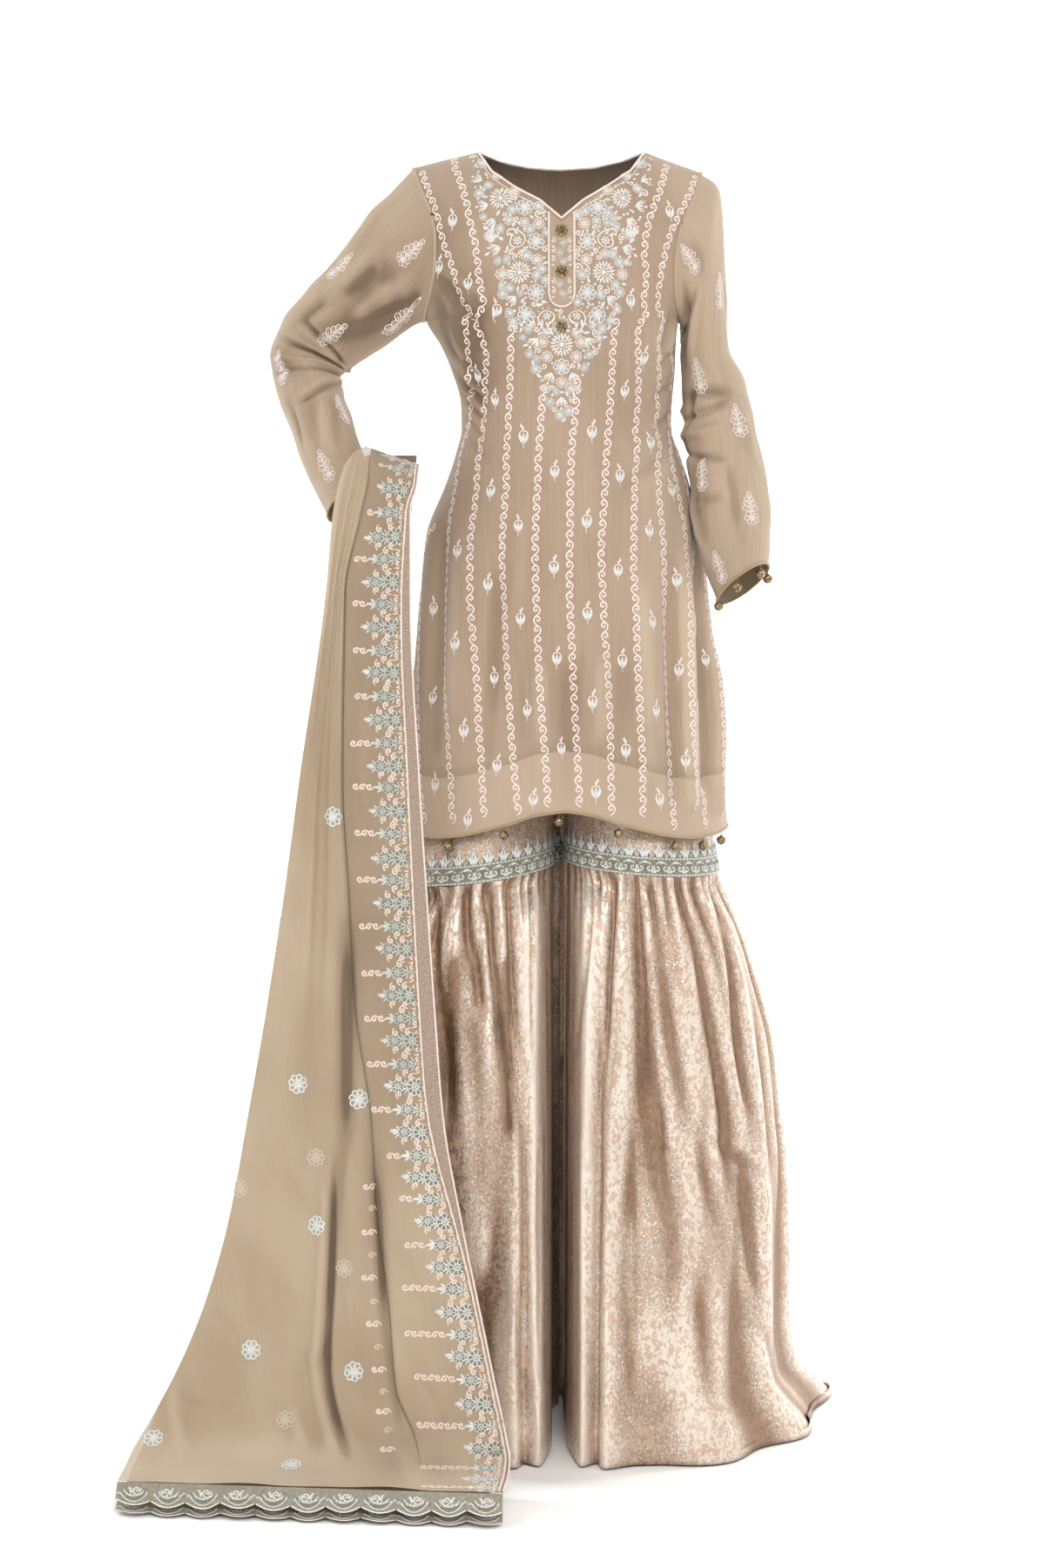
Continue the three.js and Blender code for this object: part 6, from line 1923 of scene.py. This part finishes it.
def lace(part, lower, **leans):
    """Scallops of concentric stitched arcs with a curl in each, on a fine ground."""
    cloth = lace_cloth(lower, **leans)
    sheet(f"lace_{part}_ground", cloth, LACE_GROUND, [f"dupatta_lace_{part}"])
    work = Needlework(cloth)
    t = np.linspace(0.02, 0.98, 13)
    base = np.arange(len(t) - 1)[:, None] * 3 + np.arange(2)[None]
    quads = np.stack([base, base + 1, base + 4, base + 3], -1).reshape(-1, 4)
    for k in range(SCALLOPS):
        for reach, tone, thick in ARCS:
            outer = reach > 0.9
            v = reach * np.where(outer, 1, mix(0.55, 1, np.sin(math.pi * t) ** 0.6))
            i, j = cloth.at((k + 0.5 + (t - 0.5) * (0.98 if outer else reach)) / SCALLOPS, v)
            at, normal = cloth.point(i, j), cloth.out(i, j)
            side = unit(np.cross(tangents(at), normal)) * thick / 2
            rows = [at - side + normal * 0.3, at + normal * 0.9, at + side + normal * 0.3]
            work.parts.append((np.stack(rows, 1).reshape(-1, 3), quads, tone))
        heart = Motif().curl(-2.6, 0.5, 9.5, 180, 1, PINK, 1.6).leaf(2.0, -4, 12, 8.5, 3.0, SILVER)
        heart.dot(4.6, 3.2, 1.5, SILVER).leaf(-6, -3.6, -20, 7, 2.4, SILVER)
        for x in np.arange(-15.5, 16, 4.4):
            heart.leaf(x, -7.6, 62, 4.4, 1.9, SILVER).dot(x + 1.0, -4.8, 0.8, PINK)
        middle = (k + 0.5) / SCALLOPS
        down = -cloth.sample(cloth.along, *cloth.at(middle, 0.3))
        work.lay(heart, cloth.at(middle, 0.36), up=down, hand=1 if k % 2 else -1)
    work.build(f"lace_{part}_stitches", "lace", THREADS)


lace("front", 0, forward=0.78, down=0.6, seam=1.3)
lace("under", LAYER_DROP, forward=0.97, down=0.2, seam=0.5)


# ---------------------------------------------------------------- embroidery: kurti
VINE_PITCH = 11.2


def vine_on(work, path, flip=1):
    """A running vine of hooks, one each way, along a path of shares of the cloth."""
    cloth = work.cloth
    i, j = cloth.at(*curve(path, 6).T)
    length = distances(cloth.point(i, j))
    count = max(1, round(length[-1] / VINE_PITCH))
    hooks = [Motif().curl(0, -0.9, length[-1] / count, 0, hand, PINK, 1.8).built()
             for hand in (1, -1)]
    for k in range(count):
        middle = (k + 0.5) * length[-1] / count
        low, place, high = (np.array([np.interp(at, length, i), np.interp(at, length, j)])
                            for at in (middle - 4, middle, middle + 4))
        work.lay(hooks[k % 2], place, up=cloth.point(*high) - cloth.point(*low), hand=flip)


kurti_work, back_work = Needlework(front), Needlework(back)
for path in VINES:
    vine_on(kurti_work, [(u, v) for v, u in path])
bud = bulb().built()
for k, (u, v) in enumerate(BUDS):
    kurti_work.lay(bud, front.at(u, v), size=0.98 + 0.05 * math.sin(k * 2.4),
                   angle=3 * math.sin(k * 1.7), hand=1 if k % 3 else -1)
kurti_work.build("kurti_embroidery_front", "kurti_chiffon", THREADS)

for k in range(11):
    high = 0.97 if abs(k - 5) > 1 else 0.9
    vine_on(back_work, [(0.05 + 0.09 * k, v) for v in (0.015, 0.3, 0.6, high)], -1 if k % 2 else 1)
for column in range(10):
    for row in range(7):
        v = 0.06 + 0.145 * row + (0.07 if column % 2 else 0)
        if v < 0.94:
            back_work.lay(bud, back.at(0.095 + 0.09 * column, v), angle=3 * math.sin(row + column))
back_work.build("kurti_embroidery_back", "kurti_chiffon", THREADS)


# ---------------------------------------------------------------- embroidery: yoke
def neckline(x):
    """Height of the front neck edge over a place across the body."""
    return np.interp(x, FRONT_TOP["x"], FRONT_TOP["z"])


def on_yoke(x, z, neck_gap=5.5, placket_gap=3):
    """Whether a place lies on the worked ground, clear of the neck edge and the placket."""
    away = abs(x - V_POINT[0])
    reach = np.interp(z, YOKE["z"][::-1], YOKE["out"][::-1])
    start = np.interp(z, [-60, -20, 0], [0, 40, 62])
    on_placket = away < PLACKET_HALF + placket_gap and z > PLACKET_END - placket_gap
    return z <= neckline(x) - neck_gap and not on_placket and start <= away <= reach


def wheel(radius):
    """A large round flower: two rings of narrow petals round a full heart."""
    m = Motif()
    for k in range(18):
        m.leaf(*polar(radius * 0.5, 20 * k), 20 * k, radius * 0.5, radius * 0.19,
               SILVER if k % 2 else PINK)
    for angle in range(9, 369, 36):
        m.leaf(*polar(radius * 0.22, angle), angle, radius * 0.36, radius * 0.17, SILVER, high=0.9)
        m.dot(*polar(radius * 0.55, angle), 0.9, PINK, 1.1)
    return m.dot(0, 0, radius * 0.2, PINK, 1.1)


def paisley():
    """A curled drop with a flower in its belly and small leaves down its back."""
    m = Motif()
    m.line([(0, -11), (-7, -8), (-9.5, -1), (-6, 6), (1, 11), (7, 10.5), (8.6, 6)], 1.7, PINK)
    m.line([(8.6, 6), (5.4, 7.4), (4.6, 3), (8, -2), (6.6, -8), (0, -11)], 1.7, PINK)
    petal = 2 * math.pi * 5.6 * 0.62 / 7 * 0.8
    for k in range(7):
        angle = 10 + 360 * k / 7
        m.leaf(*polar(1.68, angle, -0.6, -3.4), angle, 3.92, petal, SILVER)
    m.dot(-0.6, -3.4, 1.456, PINK, 0.9)
    m.leaf(-2.8, 2.6, 14, 7.5, 2.8, SILVER).leaf(1.4, 2.6, 34, 6, 2.2, SILVER)
    for angle in range(-160, 0, 34):
        m.leaf(*polar(11, angle, -0.5, -2.0), angle, 3.6, 2.0, SILVER)
    return m


def leaf_pair():
    m = Motif().leaf(0, -6, 0, 12, 3.2, SILVER)
    for side in (-1, 1):
        m.leaf(side * 0.5, -5, side * 42, 9, 3.2, SILVER, side * -0.1)
        m.curl(side * 4.6, 2.4, 5.6, 30 * side, side, PINK, 1.2)
    return m.dot(0, 7.6, 1.5, PINK)


# each with the radius it keeps clear, in the order of the table's kinds
YOKE_KINDS = ((wheel(13.5), 13.8), (floret(9.2, SILVER, PINK, 0.15), 9.6),
              (floret(6.4, PINK, SILVER, 0.15), 6.6), (paisley(), 12), (leaf_pair(), 7.5))
# small motifs strewn between them: the motif, the gap it needs and how often it is tried
YOKE_FILLERS = (
    (floret(5.4, SILVER, PINK, 0.16), 4.4, 1500), (floret(4.6, SILVER, PINK, 0.16), 3.7, 1500),
    (Motif().curl(0, 0, 7.6, 0, 1, PINK, 1.5), 3.1, 3000),
    (Motif().leaf(0, -3.4, 0, 7.2, 3.2, SILVER), 2.3, 3000),
    (Motif().dot(0, 0, 1.5, SILVER), 1.5, 3000))
NECK_CORD_DROP = 6.5  # of the fine cord under the neck edge


def yoke():
    random = np.random.default_rng(40)
    work = Needlework(front)
    taken = []

    def lay(motif, x, z, radius, angle, size=1.0, hand=1):
        work.lay(motif, front.find((x, z)), angle=angle, size=size, hand=hand)
        taken.append((x, z, radius))

    for kind, out, z, angle in zip(*YOKE_MOTIFS.values()):
        motif, radius = YOKE_KINDS[int(kind)]
        for hand in ((1,) if out == 0 else (1, -1)):
            lay(motif, V_POINT[0] + hand * out, z, radius, hand * angle, hand=hand)
    for motif, gap, tries in YOKE_FILLERS:
        for _ in range(tries):
            x, z = random.uniform(-110, 104), random.uniform(-300, 0)
            if on_yoke(x, z) and min((x - a) ** 2 + (z - b) ** 2 - (r + gap) ** 2
                                     for a, b, r in taken) > 0:
                lay(motif, x, z, gap * 0.95, random.uniform(0, 360), random.uniform(0.9, 1.12),
                    1 if random.uniform() < 0.5 else -1)
    for side, (neck, _) in ((-1, RIGHT_NECK), (1, LEFT_NECK)):
        x = np.linspace(V_POINT[0] + side * 16, neck, 30)
        line = front_at(x, neckline(x) - NECK_CORD_DROP) + (0, -0.6, 0)
        work.parts.append((*cord_mesh(line, 0.55, False, 5), PINK))
    work.build("yoke_embroidery", "kurti_chiffon", THREADS)


yoke()
placket_work = Needlework(placket)
small, tiny = floret(4.6, SILVER, PINK), Motif().curl(0, 0, 6.2, 0, 1, PINK, 1.1)
seed = Motif().dot(0, 0, 1.4, SILVER)
for k, z in enumerate((-106, -117, -126.5, -151, -162)):
    placket_work.lay(small, placket.find((V_POINT[0] + (-1.5 if k % 2 else 1.5), z)))
    for side in (-1, 1):
        placket_work.lay(tiny, placket.find((V_POINT[0] + side * 8.8, z + 3)), hand=side)
        placket_work.lay(seed, placket.find((V_POINT[0] + side * 9.4, z - 3.5)))
placket_work.build("placket_embroidery", "kurti_chiffon", THREADS)


# ---------------------------------------------------------------- embroidery: sleeves
for arm, cloth in sleeves.items():
    hidden = [(0.62 + 0.22 * (k % 2), 0.09 + 0.125 * k) for k in range(8)]
    work = Needlework(cloth)
    work.lay_all(spray().built(), SPRAYS[arm] + hidden, turn=lambda k: 6 * math.sin(2.1 * k))
    work.build(f"sleeve_embroidery_{arm.lower()}", "kurti_chiffon", THREADS)


# ---------------------------------------------------------------- embroidery: dupatta
def brighter(built):
    """The same motif with its silver in the brighter thread, the lit copy of the silver: a painted
    light.
    """
    *shape, tones = built
    return *shape, np.where(tones == SILVER, SNOW, tones)


ROW_PITCH = 25.2
BRIGHT_FROM = 0.58  # share of the edge below which its silver is in the brighter thread, a painted light; above it the darker silver is a painted shade
WHOLE_WIDTH = 52  # room that a row needs at its full size
SMALL_LENGTH = 41  # of a small row with no chain of hooks
END_CLEAR = 6


def border(work, column, width_at, start, seed):
    """Rows of the border along one edge of the cloth, large and small in turn."""
    cloth = work.cloth
    random = np.random.default_rng(seed)
    length = distances(cloth.points[:, column])
    large = border_large().built()
    smalls = [border_small(hooks).built() for hooks in range(9)]
    for k, at in enumerate(np.arange(start, length[-1] - END_CLEAR, ROW_PITCH)):
        i = np.interp(at, length, np.arange(len(length)))
        place = np.array([i, column % cloth.points.shape[1]])
        size = min(1.0, width_at(at) / WHOLE_WIDTH)
        hooks = int(np.clip((width_at(at) - SMALL_LENGTH * size) / CHAIN_PITCH, 0, 8))
        row = smalls[hooks] if k % 2 else large
        if at > length[-1] * BRIGHT_FROM:
            row = brighter(row)
        work.lay(row, place, up=-cloth.sample(cloth.across, *place), size=size,
                 angle=random.uniform(-2, 2))


def fall_width(at):
    row = row_at(FALL, "at", at / FALL_LENGTH)
    cover = strip_cover(row, at / FALL_LENGTH)
    return float(row["rightX"] - row["strip"] + cover - row["pleatX"]) - 2


fall_work, under_work, rear_work = (Needlework(c) for c in (upper_fall, lower_fall, rear_fall))
border(fall_work, -1, fall_width, 14, 50)
flower = floret(10.5, SNOW, PINK, 0.17).built()
fall_work.lay_all(flower, SCARF_FLOWERS, turn=lambda k: 9 * k)
hook_end = Motif().curl(0, 0, 8.6, 180, 1, PINK, 2.0).curl(0, 7.6, 7.6, 180, -1, PINK, 2.2)
veiled = Motif().curl(0, 0, 8.0, 180, 1, VEIL, 2.0)
for motif, places in ((hook_end, HOOK_ENDS), (veiled, VEILED_HOOKS),
                      (floret(9.5, VEIL, VEIL, 0.17), VEILED_FLOWERS)):
    fall_work.lay_all(motif, places, "across")
under_work.lay_all(flower, UNDER_FLOWERS, turn=lambda k: 13 * k)
border(rear_work, -2, lambda at: min(92.0, 46 + at * 0.04), 20, 51)
rear_places = [(0.16 + 0.26 * (k % 2), 0.12 + 0.1 * k) for k in range(9)]
rear_work.lay_all(flower, rear_places, turn=lambda k: 17 * k)
for part, work in (("front", fall_work), ("under", under_work), ("rear", rear_work)):
    work.build(f"dupatta_embroidery_{part}", "dupatta_chiffon", SCARF_THREADS)


# ---------------------------------------------------------------- studio
DAYLIGHT = (1.0, 0.985, 0.965, 1), 0.55  # colour and strength
LAMPS = [
    ("key_lamp", (0.6, -4.3, 2.1), (0, 0, -0.6), 1.5, 122),
    ("fill_lamp", (-3.2, -3.0, 0.4), (0, 0, -0.8), 2.4, 16),
    ("rim_lamp", (-1.5, 3.4, 2.4), (0, 0, -0.7), 2.4, 18),
    ("backdrop_lamp_left", (-3.4, 1.6, 2.8), (-1.5, 7.0, 0.2), 2.4, 420),
    ("backdrop_lamp_right", (3.4, 1.6, 2.8), (1.5, 7.0, 0.2), 2.4, 420),
]
BACKDROP = [(0.0, 0), (2.5, 0), (4.5, 0), (5.6, 0), (6.3, 0.12), (6.9, 0.5), (7.3, 1.2),
            (7.5, 2.2), (7.6, 3.4)]  # metres out and up


def studio():
    """A pale floor that curves up far behind, soft daylight and large soft lamps."""
    points, quads = turned(curve(np.asarray(BACKDROP) * 1000, 4), 96)
    points[:, 2] += FLOOR - 0.5
    middle = np.hypot(points[:, 0], points[:, 1]) < 1
    points[middle, 0] *= 0.01
    look = Look("studio_floor", Roughness=0.9)
    grain = look.noise(look.solid_place(1.0), 3.0)
    look.finish(look.blend(grain, paint(250, 249, 248), paint(253, 253, 252)))
    add_object("studio_floor", raw_mesh("studio_floor", points, quads, [look.material]))
    world = bpy.data.worlds.new("daylight")
    bpy.context.scene.world = world
    world.use_nodes = True
    background = world.node_tree.nodes["Background"]
    for socket, value in zip(("Color", "Strength"), DAYLIGHT):
        background.inputs[socket].default_value = value
    for name, place, aim, size, power in LAMPS:
        data = bpy.data.lights.new(name, "AREA")
        data.shape, data.size, data.energy = "SQUARE", size, power
        lamp = add_object(name, data)
        lamp.location = place
        direction = mathutils.Vector(np.subtract(aim, place))
        lamp.rotation_euler = direction.to_track_quat("-Z", "Y").to_euler()
    bpy.context.scene.view_settings.view_transform = "Standard"


studio()
